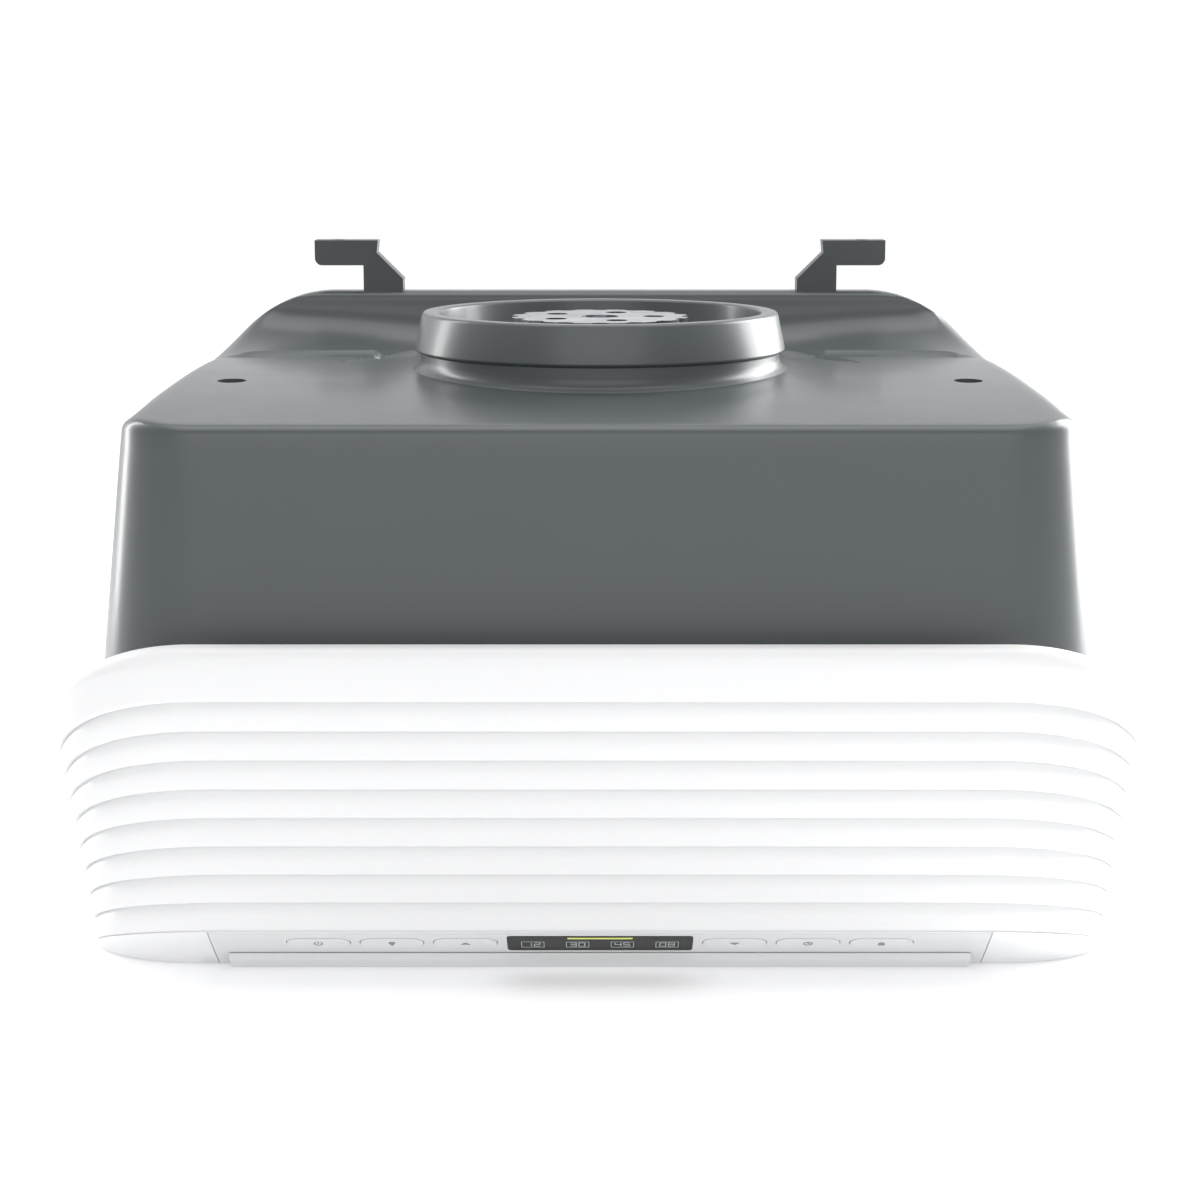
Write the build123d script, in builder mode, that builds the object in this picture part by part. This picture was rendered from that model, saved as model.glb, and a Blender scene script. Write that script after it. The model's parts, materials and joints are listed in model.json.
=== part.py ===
# Garage door opener power head: a drafted housing with the drive collar on top, a ribbed
# lamp lens round the nose, a control bevel under it, and a geared motor inside.
# Millimetres. +Z is up, -Y is the front, and the origin is the middle of the underside.

import os
from math import cos, pi, radians, sin, sqrt, tan

from build123d import *

os.makedirs("parts", exist_ok=True)

# ---- overall sizes
head_depth = 270.0
head_height = 217.0  # underside to collar rim
nose_half_width = 187.6
body_half_width = 161.0  # at the top edge
body_edge_height = 188.4  # top edge of the front face
side_draft = 6.6
front_draft = 5.0
shell_wall = 3.0
part_gap = 0.3  # between pieces that sit beside each other
running_gap = 0.05  # radial, a shaft in a bush or a pin in an ear
seat_gap = 0.02  # radial, between round pieces fixed to each other

# ---- housing
nose_overhang = 24.0  # front top edge behind the nose rim
body_corner_top = 30.0
body_corner_low = 52.0
crown_height = 196.0
crown_slope = 0.137  # rise of the crown at the front edge
crown_lead = 4.0  # the crown starts this far in front of the edge
wall_foot_height = 191.0
wall_foot_y = 98.0
rear_wall_depth = 15.0
rear_shoulder = 132.6  # where the flat rear top would meet its sloped shoulder
shoulder_slope = 47.0
shoulder_fillet = 50.0
skirt_depth = 9.0  # housing edge below the nose ledge

vent_z = 87.0  # middle of the two rows of rear vents
vent_count = 12
vent_pitch = 13.0
vent_length = 38.0
vent_width = 4.2

# ---- drive collar
collar_y = 12.0
collar_rim_radius = 66.0
collar_base_radius = 69.0
collar_skirt_radius = 67.0
collar_bore_radius = 60.0
collar_lip = 14.0
well_floor = 3.0
well_hole_radius = 14.0

# ---- ribbed nose
rim_height = 119.5
first_band = 18.1
rib_pitch = 10.17
rib_count = 8
rib_back_step = 1.43
rim_side_step = 1.9
rib_side_step = 0.886
shingle_step = 1.6
rim_slope = 36.0
rib_slope_step = 1.57
nose_corner = 54.0
nose_reach = 230.0
nose_wall = 3.6
ledge_wall = 3.0

# ---- control bevel
bevel_slope = 38.0
bevel_length = 33.2
foot_half_width = 172.0
foot_corner = 34.0
bevel_inset = 10.5
panel_thickness = 2.5
panel_half_width = 132.0
panel_top_margin = 1.5
panel_seat = 0.9  # lens edge that the panel rests on
button_width = 21.4
button_height = 7.6
button_row = 11.0
button_margin = 3.7  # between the display and the buttons beside it
button_spacing = 3.5  # between one button and the next
button_travel = 1.0
button_proud = 0.4
button_flange = 1.0
display_width = 62.4
display_height = 14.2
display_row = 11.8
board_setback = 7.0
board_thickness = 1.6
panel_pin_x = 112.0
panel_pin_radius = 2.2
button_board_length = 232.0
button_board_width = 16.0
switch_size = 6.0
switch_height = 1.4
switch_plunger_radius = 1.7

# ---- access door
door_half_width = 127.0
door_thickness = 2.5
door_hinge_y = -45.0
door_hinge_height = 2.6
door_barrel_radius = 2.5
door_lip_start = 21.0
door_lip_proud = 2.3
door_pin_radius = 1.2
door_ear_width = 6.0

# ---- drive train
gear_module = 1.75
gear_pressure = 25.0
wheel_teeth = 60
pinion_teeth = 12
gear_backlash = 0.12
gear_floor = 150.0
gear_thickness = 14.0
shaft_radius = 7.0
bush_radius = 10.0
case_clearance = 2.0
case_wall = 3.5
case_floor_thickness = 5.0
case_floor_height = 143.0
cover_height = 168.0
cover_thickness = 4.0
lug_reach = 6.0  # middle of a lug outside the case wall
lug_radius = 8.0
motor_radius = 30.0
motor_length = 78.0
motor_shaft_radius = 4.0
motor_shaft_foot = 50.0
end_bell_thickness = 6.0
armature_radius = 21.0
magnet_thickness = 5.0
encoder_radius = 14.0
encoder_height = 53.0
sprocket_radius = 33.0
sprocket_teeth = 16
sprocket_thickness = 6.0
sprocket_drop = 2.0  # top of the sprocket below the collar rim
sprocket_hub_radius = 12.0

# ---- frame inside
base_thickness = 2.5
chassis_height = 176.0
chassis_thickness = 2.5
chassis_half_width = 116.0
chassis_front_y = -44.0
chassis_rear_y = 106.0
post_radius = 4.5
post_x = 104.0
post_front_y = -30.0
post_rear_y = 96.0
boss_radius = 6.5
screw_radius = 2.0
screw_head_radius = 4.0
stud_length = 9.0
bolt_radius = 2.5
fixing_hole_radius = 5.2
fixing_hole_x = 132.0
fixing_hole_y = -30.0

# ---- hangers
hanger_x = 82.0
hanger_post_width = 16.4
hanger_reach = 118.5
hanger_rise = 20.8
hanger_flange = 10.3
hanger_depth = 11.0
hanger_foot = 9.0
hanger_bolt_radius = 2.75
hanger_bolt_x = 109.0

# ---- electrics
inlet_width = 28.0
inlet_height = 20.0
inlet_z = 40.0
inlet_x = -110.0
led_bracket_y = -88.0
led_bracket_half_width = 150.0
led_bracket_foot = 30.0
led_bracket_top = 95.0
led_bracket_thickness = 1.5
led_board_half_width = 132.0
led_board_height = 42.0
led_foot_width = 16.0
led_foot_depth = 14.0
led_count = 12
led_size = 5.0
led_thickness = 1.6
led_row_pitch = 22.0
control_board_length = 118.0
control_board_width = 92.0
control_board_x = -40.0
control_board_y = 38.0
standoff_height = 7.0
standoff_radius = 3.0
relay_count = 3
relay_length = 19.0
relay_size = 15.5
relay_pitch = 24.0
capacitor_count = 3
capacitor_radius = 8.0
capacitor_height = 28.0
capacitor_pitch = 20.0
transformer_x = 140.0
transformer_y = 44.0
transformer_width = 44.0
transformer_depth = 54.0
transformer_height = 46.0
terminal_x = 0.0
terminal_y = -30.0
terminal_count = 6
terminal_pitch = 8.0
terminal_depth = 16.0
terminal_height = 14.0

# ---- worked out from the sizes above
rear_y = head_depth / 2
nose_front_y = -head_depth / 2
body_front_y = nose_front_y + nose_overhang
body_low_half_width = body_half_width + body_edge_height * tan(radians(side_draft))
body_low_front_y = body_front_y - body_edge_height * tan(radians(front_draft))
gear_centres = gear_module * (wheel_teeth + pinion_teeth) / 2
motor_x = gear_centres
motor_top = case_floor_height
motor_foot = motor_top - motor_length
lower_edge = rib_count + 1
well_top = head_height - collar_lip
sprocket_top = head_height - sprocket_drop
hanger_top = head_height + hanger_rise
hanger_y = rear_y - rear_wall_depth / 2
post_places = [(x, y) for x in (-post_x, post_x) for y in (post_front_y, post_rear_y)]
case_radius = gear_module * (wheel_teeth + 2) / 2 + case_clearance
pinion_pocket = gear_module * (pinion_teeth + 2) / 2 + case_clearance
lug_spread = (case_radius + case_wall + lug_reach) / sqrt(2)
lug_places = [(x, collar_y + y) for x in (-lug_spread, lug_spread) for y in (-lug_spread, lug_spread)]
button_first = display_width / 2 + button_margin + button_width / 2
button_pitch = button_width + button_spacing
button_names = ["power", "lamp", "up", "down", "timer", "lock"]
button_places = [-button_first - 2 * button_pitch, -button_first - button_pitch, -button_first,
                 button_first, button_first + button_pitch, button_first + 2 * button_pitch]


def export(piece, name):
    piece.part.label = name
    export_step(piece.part, f"parts/{name}.step")


# ---- shapes that several pieces share

def rib_plane(k):
    # line 0 is the rim, 1 to rib_count are the ribs, and the next is the lower edge
    turns = max(k - 1, 0)
    slope = radians(rim_slope - min(k, 1) - turns * rib_slope_step)
    height = rim_height - min(k, 1) * first_band - turns * rib_pitch
    front = nose_front_y + turns * rib_back_step
    return Plane(origin=(0, front, height), x_dir=(1, 0, 0), z_dir=(0, sin(slope), cos(slope)))


def rib_half_width(k):
    return nose_half_width - min(k, 1) * rim_side_step - max(k - 1, 0) * rib_side_step


def nose_outline(plane, half_width, front, corner):
    with BuildSketch(plane) as outline:
        with Locations((0, front)):
            Rectangle(2 * half_width, nose_reach, align=(Align.CENTER, Align.MIN))
        fillet(outline.vertices().sort_by(Axis.Y)[:2], corner)
    return outline.sketch


def rib_outline(k, front=0.0, side=0.0, drop=0.0):
    return nose_outline(rib_plane(k).offset(-drop), rib_half_width(k) - side, front, nose_corner - side)


def foot_outline(front=0.0, side=0.0):
    edge = rib_plane(lower_edge)
    back = bevel_length * cos(radians(bevel_slope))
    down = bevel_length * sin(radians(bevel_slope))
    plane = Plane(origin=edge.origin + Vector(0, back, -down), x_dir=(1, 0, 0), z_dir=edge.z_dir)
    return nose_outline(plane, foot_half_width - side, front, foot_corner - side)


def nose_form(inset=0.0, drop=0.0, step=0.0, low_front=0.0):
    # the stack of bands from rim to lower edge, and the bevel that runs in under them
    with BuildPart() as form:
        for k in range(lower_edge):
            upper = inset + (step if k else 0.0)
            upper_drop = 0.0 if k else drop
            front = low_front if k + 1 == lower_edge and low_front else inset
            loft([rib_outline(k, upper, upper, upper_drop), rib_outline(k + 1, front, inset)], ruled=True)
        front = low_front if low_front else inset
        loft([rib_outline(lower_edge, front, inset), foot_outline(front, inset)], ruled=True)
        split(bisect_by=Plane.XY, keep=Keep.TOP)
    return form.part


def body_outline(height, half_width, front, corner, inset):
    with BuildSketch(Plane.XY.offset(height)) as outline:
        with Locations((0, front + inset)):
            Rectangle(2 * (half_width - inset), rear_y - front - 2 * inset, align=(Align.CENTER, Align.MIN))
        corners = outline.vertices().sort_by(Axis.Y)
        fillet(corners[:2], corner - inset)
        fillet(outline.vertices().sort_by(Axis.Y)[-2:], corner / 2 - inset)
    return outline.sketch


def body_form(inset=0.0, roof=0.0, walled=True):
    # the drafted block, cut to its side profile and to its rear elevation
    top = head_height + 1.0
    rise = top - body_edge_height
    with BuildPart() as form:
        low = body_outline(0, body_low_half_width, body_low_front_y, body_corner_low, inset)
        high = body_outline(top, body_half_width - rise * tan(radians(side_draft)),
                            body_front_y + rise * tan(radians(front_draft)), body_corner_top - 3, inset)
        loft([low, high], ruled=True)
        with BuildSketch(Plane.YZ) as profile:
            with BuildLine():
                crown = ThreePointArc(
                    (body_front_y - crown_lead, body_edge_height - crown_lead * crown_slope - roof),
                    (0, crown_height - roof),
                    (wall_foot_y, wall_foot_height + 1 - roof),
                )
                wall_y = rear_y - rear_wall_depth
                if walled:
                    Polyline(crown @ 1, (wall_y - 3, wall_foot_height), (wall_y, head_height),
                             (rear_y + 20, head_height), (rear_y + 20, -1), (nose_front_y - 20, -1),
                             (nose_front_y - 20, body_edge_height - 10), crown @ 0)
                else:
                    Polyline(crown @ 1, (rear_y + 20, wall_foot_height - roof), (rear_y + 20, -1),
                             (nose_front_y - 20, -1), (nose_front_y - 20, body_edge_height - 10 - roof),
                             crown @ 0)
            make_face()
            if walled:
                edge = profile.vertices().filter_by(lambda v: abs(v.X - wall_y + 3) < 0.1)
                fillet(edge, 14)
                edge = profile.vertices().filter_by(lambda v: abs(v.X - wall_y) < 0.1)
                fillet(edge, 4)
        extrude(amount=nose_half_width + 20, both=True, mode=Mode.INTERSECT)
        with BuildSketch(Plane.XZ) as elevation:
            run = nose_half_width + 20 - rear_shoulder
            fall = run * tan(radians(shoulder_slope))
            with BuildLine():
                Polyline((-rear_shoulder - run, head_height - fall - roof),
                         (-rear_shoulder, head_height - roof), (rear_shoulder, head_height - roof),
                         (rear_shoulder + run, head_height - fall - roof),
                         (rear_shoulder + run, -1), (-rear_shoulder - run, -1), close=True)
            make_face()
            fillet(elevation.vertices().group_by(Axis.Y)[-1], shoulder_fillet)
        extrude(amount=head_depth, both=True, mode=Mode.INTERSECT)
    return form.part


def roof_height(y):
    # outside of the crowned top, along the middle
    fall = crown_height - (body_edge_height if y < 0 else wall_foot_height + 1)
    run = -body_front_y if y < 0 else wall_foot_y
    return crown_height - fall * (y / run) ** 2


bevel_edge = rib_plane(lower_edge).origin
bevel_plane = Plane(origin=bevel_edge, x_dir=(1, 0, 0),
                    z_dir=(0, sin(radians(bevel_slope)), cos(radians(bevel_slope))))
skirt_plane = rib_plane(0).offset(-skirt_depth)
skirt_foot_y = skirt_plane.origin.Y + (skirt_plane.origin.Z - base_thickness) / tan(radians(rim_slope))


def bevel_point(along, inward):
    # a point of the bevel's cross-section, as (y, z)
    place = bevel_plane.from_local_coords(Vector(0, along, inward))
    return (place.Y, place.Z)


# ---- top housing

with BuildPart() as top_housing:
    add(body_form())
    with BuildSketch(Plane.XY.offset(well_top)):
        with Locations((0, collar_y)):
            Circle(collar_base_radius)
    with BuildSketch(Plane.XY.offset(head_height)):
        with Locations((0, collar_y)):
            Circle(collar_rim_radius)
    loft()
    with Locations((0, collar_y, wall_foot_height - 8)):
        Cylinder(collar_skirt_radius, well_top - wall_foot_height + 8,
                 align=(Align.CENTER, Align.CENTER, Align.MIN))
    add(body_form(shell_wall, shell_wall, walled=False), mode=Mode.SUBTRACT)
    # pocket under the well floor, then the well itself and the shaft hole
    with Locations((0, collar_y, wall_foot_height - 12)):
        Cylinder(collar_skirt_radius - 2 * shell_wall, well_top - well_floor - wall_foot_height + 12,
                 align=(Align.CENTER, Align.CENTER, Align.MIN), mode=Mode.SUBTRACT)
    with Locations((0, collar_y, well_top)):
        Cylinder(collar_bore_radius, collar_lip + 2, align=(Align.CENTER, Align.CENTER, Align.MIN),
                 mode=Mode.SUBTRACT)
    with Locations((0, collar_y, well_top)):
        Cylinder(well_hole_radius, 12, mode=Mode.SUBTRACT)
    # the raised rear wall is hollow between the hanger sockets
    with Locations((0, hanger_y, wall_foot_height - 14)):
        Box(2 * (hanger_x - 2 * shell_wall), rear_wall_depth - 2 * shell_wall,
            head_height - wall_foot_height + 14 - shell_wall,
            align=(Align.CENTER, Align.CENTER, Align.MIN), mode=Mode.SUBTRACT)
    # bosses that hang the chassis plate
    for x, y in post_places:
        boss_foot = chassis_height + chassis_thickness
        with Locations((x, y, boss_foot)):
            Cylinder(boss_radius, roof_height(y) - shell_wall / 2 - boss_foot,
                     align=(Align.CENTER, Align.CENTER, Align.MIN))
        with Locations((x, y, chassis_height)):
            Cylinder(screw_radius + seat_gap, stud_length + 1, align=(Align.CENTER, Align.CENTER, Align.MIN),
                     mode=Mode.SUBTRACT)
    # hanger sockets
    for side in (-1, 1):
        with Locations((side * (hanger_x + hanger_post_width / 2), hanger_y, head_height - hanger_foot)):
            Box(hanger_post_width + 2 * seat_gap, hanger_depth + 2 * seat_gap, hanger_foot + 10,
                align=(Align.CENTER, Align.CENTER, Align.MIN), mode=Mode.SUBTRACT)
    # fixing holes through the sloped top
    with Locations((-fixing_hole_x, fixing_hole_y, crown_height),
                   (fixing_hole_x, fixing_hole_y, crown_height)):
        Cylinder(fixing_hole_radius, 40, mode=Mode.SUBTRACT)
    # rear vents and power inlet
    with Locations(Plane.XZ.offset(-rear_y)):
        with Locations((0, vent_z)):
            with GridLocations(vent_pitch, vent_length + 10, vent_count, 2):
                Box(vent_width, vent_length, 20, mode=Mode.SUBTRACT)
        with Locations((inlet_x, inlet_z)):
            Box(inlet_width, inlet_height, 20, mode=Mode.SUBTRACT)
    split(bisect_by=skirt_plane, keep=Keep.TOP)
export(top_housing, "top_housing")

# ---- lens cover

with BuildPart() as lens_cover:
    add(nose_form(step=shingle_step))
    add(nose_form(inset=nose_wall, drop=ledge_wall, low_front=bevel_inset), mode=Mode.SUBTRACT)
    with BuildPart(mode=Mode.PRIVATE) as body_clearance:
        add(body_form(-part_gap))
        split(bisect_by=skirt_plane.offset(-part_gap), keep=Keep.TOP)
    add(body_clearance.part, mode=Mode.SUBTRACT)
    with BuildSketch(bevel_plane.offset(-door_lip_proud)):
        with Locations((0, panel_top_margin)):
            Rectangle(2 * panel_half_width, bevel_length + 10, align=(Align.CENTER, Align.MIN))
    extrude(amount=panel_thickness + door_lip_proud, mode=Mode.SUBTRACT)
    with BuildSketch(bevel_plane):
        with Locations((0, panel_top_margin + panel_seat)):
            Rectangle(2 * (panel_half_width - panel_seat), bevel_length + 10,
                      align=(Align.CENTER, Align.MIN))
    extrude(amount=bevel_inset, mode=Mode.SUBTRACT)
export(lens_cover, "lens_cover")

# ---- base pan

with BuildPart() as nose_floor:
    add(nose_form(inset=nose_wall + part_gap, low_front=bevel_inset + part_gap))
    with Locations((0, skirt_foot_y - part_gap, base_thickness)):
        Box(3 * nose_half_width, head_depth, 2 * head_height, align=(Align.CENTER, Align.MIN, Align.CENTER),
            mode=Mode.SUBTRACT)
    split(bisect_by=Plane.XY.offset(base_thickness), keep=Keep.BOTTOM)

with BuildPart() as base_pan:
    add(body_form(shell_wall + part_gap, walled=False))
    split(bisect_by=Plane.XY.offset(base_thickness), keep=Keep.BOTTOM)
    with Locations((0, skirt_foot_y - part_gap, 0)):
        Box(3 * nose_half_width, head_depth, 20,
            align=(Align.CENTER, Align.MAX, Align.CENTER), mode=Mode.SUBTRACT)
    add(nose_floor.part)
    bevel_inner_y = bevel_point(bevel_length, 0)[0] + panel_thickness / sin(radians(bevel_slope))
    with Locations((0, bevel_inner_y + 2 * part_gap, 0)):
        Box(3 * nose_half_width, head_depth, 20,
            align=(Align.CENTER, Align.MAX, Align.CENTER), mode=Mode.SUBTRACT)
    # ears for the door's hinge pin
    ear_x = door_half_width + part_gap + door_ear_width / 2
    with Locations((-ear_x, door_hinge_y, base_thickness), (ear_x, door_hinge_y, base_thickness)):
        Box(door_ear_width, 3 * door_barrel_radius, 4, align=(Align.CENTER, Align.CENTER, Align.MIN))
    # door opening
    door_back = door_hinge_y + door_thickness + 2 * part_gap
    with Locations((0, door_back, 0)):
        Box(2 * (door_half_width + part_gap), head_depth, 40, align=(Align.CENTER, Align.MAX, Align.CENTER),
            mode=Mode.SUBTRACT)
    with Locations(Plane.YZ * Location((door_hinge_y, door_hinge_height, 0))):
        Cylinder(door_pin_radius + running_gap, 2 * (door_half_width + door_ear_width) - 2,
                 mode=Mode.SUBTRACT)
    # vents under the motor, and countersunk screw holes under the posts
    with BuildSketch():
        with Locations((motor_x, collar_y)):
            with GridLocations(9, 0, 7, 1):
                SlotOverall(44, 4, rotation=90)
    extrude(amount=base_thickness, mode=Mode.SUBTRACT)
    for x, y in post_places:
        with Locations((x, y, 0)):
            Cylinder(screw_radius + seat_gap, 20, mode=Mode.SUBTRACT)
            Cone(screw_head_radius + seat_gap, screw_radius + seat_gap, base_thickness - 0.5,
                 align=(Align.CENTER, Align.CENTER, Align.MIN), mode=Mode.SUBTRACT)
export(base_pan, "base_pan")

with BuildPart() as base_screws:
    for x, y in post_places:
        with Locations((x, y, 0)):
            Cone(screw_head_radius, screw_radius, base_thickness - 0.5,
                 align=(Align.CENTER, Align.CENTER, Align.MIN))
            Cylinder(screw_radius, base_thickness + stud_length,
                     align=(Align.CENTER, Align.CENTER, Align.MIN))
        with Locations((x, y, 0)):
            Box(1.0, 5.0, 1.6, mode=Mode.SUBTRACT)
            Box(5.0, 1.0, 1.6, mode=Mode.SUBTRACT)
export(base_screws, "base_screws")

# ---- chassis plate and its posts

with BuildPart() as chassis_plate:
    with BuildSketch(Plane.XY.offset(chassis_height)):
        with Locations((0, (chassis_front_y + chassis_rear_y) / 2)):
            RectangleRounded(2 * chassis_half_width, chassis_rear_y - chassis_front_y, 12)
        with Locations((0, collar_y)):
            Circle(sprocket_hub_radius + 6, mode=Mode.SUBTRACT)
        with Locations(post_places):
            Circle(screw_radius + seat_gap, mode=Mode.SUBTRACT)
        with Locations(lug_places):
            Circle(bolt_radius + seat_gap, mode=Mode.SUBTRACT)
        with Locations((-95, collar_y), (95, collar_y)):
            SlotOverall(60, 14, rotation=90, mode=Mode.SUBTRACT)
    extrude(amount=chassis_thickness)
export(chassis_plate, "chassis_plate")

with BuildPart() as chassis_posts:
    for x, y in post_places:
        with BuildSketch(Plane.XY.offset(base_thickness)):
            with Locations((x, y)):
                RegularPolygon(post_radius, 6)
        extrude(amount=chassis_height - base_thickness)
        with Locations((x, y, chassis_height)):
            Cylinder(screw_radius, stud_length, align=(Align.CENTER, Align.CENTER, Align.MIN))
        with Locations((x, y, base_thickness)):
            Cylinder(screw_radius + seat_gap, stud_length + 1, align=(Align.CENTER, Align.CENTER, Align.MIN),
                     mode=Mode.SUBTRACT)
export(chassis_posts, "chassis_posts")

# ---- gears

def gear_outline(teeth, turn=0.0):
    # involute teeth, thinned by the backlash, with the first tooth centred at the turn
    pressure = radians(gear_pressure)
    pitch = gear_module * teeth / 2
    base = pitch * cos(pressure)
    tip = pitch + 0.9 * gear_module
    root = pitch - 1.15 * gear_module
    half_tooth = pi / (2 * teeth) - gear_backlash / pitch

    def flank_angle(radius):
        if radius <= base:
            return half_tooth + tan(pressure) - pressure
        roll = sqrt((radius / base) ** 2 - 1)
        return half_tooth + (tan(pressure) - pressure) - (roll - atan_of(roll))

    start = max(base, root)
    radii = [root] + [start + (tip - start) * step / 5 for step in range(6)]
    points = []
    for tooth in range(teeth):
        middle = radians(turn) + 2 * pi * tooth / teeth
        rising = [(r, middle - flank_angle(r)) for r in radii]
        falling = [(r, middle + flank_angle(r)) for r in reversed(radii)]
        points += [(r * cos(a), r * sin(a)) for r, a in rising + falling]
    return points


def atan_of(value):
    # the angle whose tangent is the value
    return Vector(1, 0).get_angle(Vector(1, value)) * pi / 180


with BuildPart() as drive_gear:
    with BuildSketch(Plane.XY.offset(gear_floor)):
        with Locations((0, collar_y)):
            Polygon(*gear_outline(wheel_teeth), align=None)
            Circle(shaft_radius + seat_gap, mode=Mode.SUBTRACT)
            with PolarLocations(31, 6):
                Circle(9, mode=Mode.SUBTRACT)
    extrude(amount=gear_thickness)
export(drive_gear, "drive_gear")

with BuildPart() as pinion_gear:
    with BuildSketch(Plane.XY.offset(gear_floor + 1)):
        with Locations((motor_x, collar_y)):
            Polygon(*gear_outline(pinion_teeth, 180 / pinion_teeth), align=None)
            Circle(motor_shaft_radius + seat_gap, mode=Mode.SUBTRACT)
    extrude(amount=gear_thickness - 2)
export(pinion_gear, "pinion_gear")

# ---- output shaft, bushes and sprocket

with BuildPart() as output_shaft:
    with Locations((0, collar_y, case_floor_height - 2)):
        Cylinder(shaft_radius, sprocket_top - 1 - case_floor_height + 2,
                 align=(Align.CENTER, Align.CENTER, Align.MIN))
    chamfer(output_shaft.faces().sort_by(Axis.Z)[-1].edges(), 0.8)
export(output_shaft, "output_shaft")


def bush(foot, height):
    with BuildPart() as sleeve:
        with Locations((0, collar_y, foot)):
            Cylinder(bush_radius - seat_gap, height, align=(Align.CENTER, Align.CENTER, Align.MIN))
            Cylinder(shaft_radius + running_gap, height, align=(Align.CENTER, Align.CENTER, Align.MIN),
                     mode=Mode.SUBTRACT)
    return sleeve


lower_bush = bush(case_floor_height, gear_floor - part_gap - case_floor_height)
export(lower_bush, "lower_bush")
upper_bush = bush(gear_floor + gear_thickness + part_gap, cover_height + cover_thickness + 4 - gear_floor
                  - gear_thickness - part_gap)
export(upper_bush, "upper_bush")

with BuildPart() as drive_sprocket:
    tooth_foot = sprocket_top - sprocket_thickness
    with BuildSketch(Plane.XY.offset(tooth_foot)):
        with Locations((0, collar_y)):
            Circle(sprocket_radius)
            with PolarLocations(sprocket_radius + 1.0, sprocket_teeth):
                Circle(3.6, mode=Mode.SUBTRACT)
            with PolarLocations(20.0, 5):
                Circle(4.0, mode=Mode.SUBTRACT)
    extrude(amount=sprocket_thickness)
    with Locations((0, collar_y, well_top - well_floor - 4)):
        Cylinder(sprocket_hub_radius, tooth_foot - well_top + well_floor + 5,
                 align=(Align.CENTER, Align.CENTER, Align.MIN))
    with Locations((0, collar_y, sprocket_top)):
        Cylinder(shaft_radius + seat_gap, 60, mode=Mode.SUBTRACT)
export(drive_sprocket, "drive_sprocket")

# ---- gearbox case and cover

with BuildPart() as gearbox_case:
    with BuildSketch(Plane.XY.offset(case_floor_height)):
        with Locations((0, collar_y)):
            Circle(case_radius + case_wall)
        with Locations((motor_x, collar_y)):
            Circle(motor_radius)
    extrude(amount=cover_height - case_floor_height)
    with BuildSketch(Plane.XY.offset(cover_height - 10)):
        with Locations(lug_places):
            Circle(lug_radius)
    extrude(amount=10)
    with BuildSketch(Plane.XY.offset(case_floor_height + case_floor_thickness)):
        with Locations((0, collar_y)):
            Circle(case_radius)
        with Locations((motor_x, collar_y)):
            Circle(pinion_pocket)
    extrude(amount=cover_height, mode=Mode.SUBTRACT)
    with BuildSketch(Plane.XY.offset(case_floor_height - 1)):
        with Locations((0, collar_y)):
            Circle(bush_radius)
        with Locations((motor_x, collar_y)):
            Circle(motor_shaft_radius + 2)
        with Locations(lug_places):
            Circle(bolt_radius + seat_gap)
    extrude(amount=cover_height, mode=Mode.SUBTRACT)
export(gearbox_case, "gearbox_case")

with BuildPart() as gearbox_cover:
    with BuildSketch(Plane.XY.offset(cover_height)):
        with Locations((0, collar_y)):
            Circle(case_radius + case_wall)
        with Locations((motor_x, collar_y)):
            Circle(pinion_pocket + case_wall)
        with Locations(lug_places):
            Circle(lug_radius)
        with Locations((0, collar_y)):
            Circle(bush_radius, mode=Mode.SUBTRACT)
        with Locations(lug_places):
            Circle(bolt_radius + seat_gap, mode=Mode.SUBTRACT)
    extrude(amount=cover_thickness)
export(gearbox_cover, "gearbox_cover")

with BuildPart() as rubber_mounts:
    mount_height = chassis_height - cover_height - cover_thickness
    for x, y in lug_places:
        with Locations((x, y, cover_height + cover_thickness)):
            Cylinder(lug_radius - 1, mount_height, align=(Align.CENTER, Align.CENTER, Align.MIN))
            Cylinder(bolt_radius + seat_gap, mount_height, align=(Align.CENTER, Align.CENTER, Align.MIN),
                     mode=Mode.SUBTRACT)
export(rubber_mounts, "rubber_mounts")

with BuildPart() as gearbox_bolts:
    bolt_head = chassis_height + chassis_thickness
    bolt_length = bolt_head - cover_height + 9
    for x, y in lug_places:
        with BuildSketch(Plane.XY.offset(bolt_head)):
            with Locations((x, y)):
                RegularPolygon(4.6, 6)
        extrude(amount=3.5)
        with Locations((x, y, bolt_head)):
            Cylinder(bolt_radius, bolt_length, align=(Align.CENTER, Align.CENTER, Align.MAX))
export(gearbox_bolts, "gearbox_bolts")

# ---- motor

with BuildPart() as motor_can:
    with Locations((motor_x, collar_y, motor_foot)):
        Cylinder(motor_radius, motor_length, align=(Align.CENTER, Align.CENTER, Align.MIN))
        Cylinder(motor_radius - 2, motor_length - 3, align=(Align.CENTER, Align.CENTER, Align.MIN),
                 mode=Mode.SUBTRACT)
        Cylinder(motor_shaft_radius + running_gap, 4 * motor_length, mode=Mode.SUBTRACT)
export(motor_can, "motor_can")

with BuildPart() as motor_magnets:
    with BuildSketch(Plane.XY.offset(motor_foot + 14)):
        with Locations((motor_x, collar_y)):
            Circle(motor_radius - 2 - seat_gap)
            Circle(motor_radius - 2 - magnet_thickness, mode=Mode.SUBTRACT)
            Rectangle(14, 3 * motor_radius, mode=Mode.SUBTRACT)
    extrude(amount=motor_length - 26)
export(motor_magnets, "motor_magnets")

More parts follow.
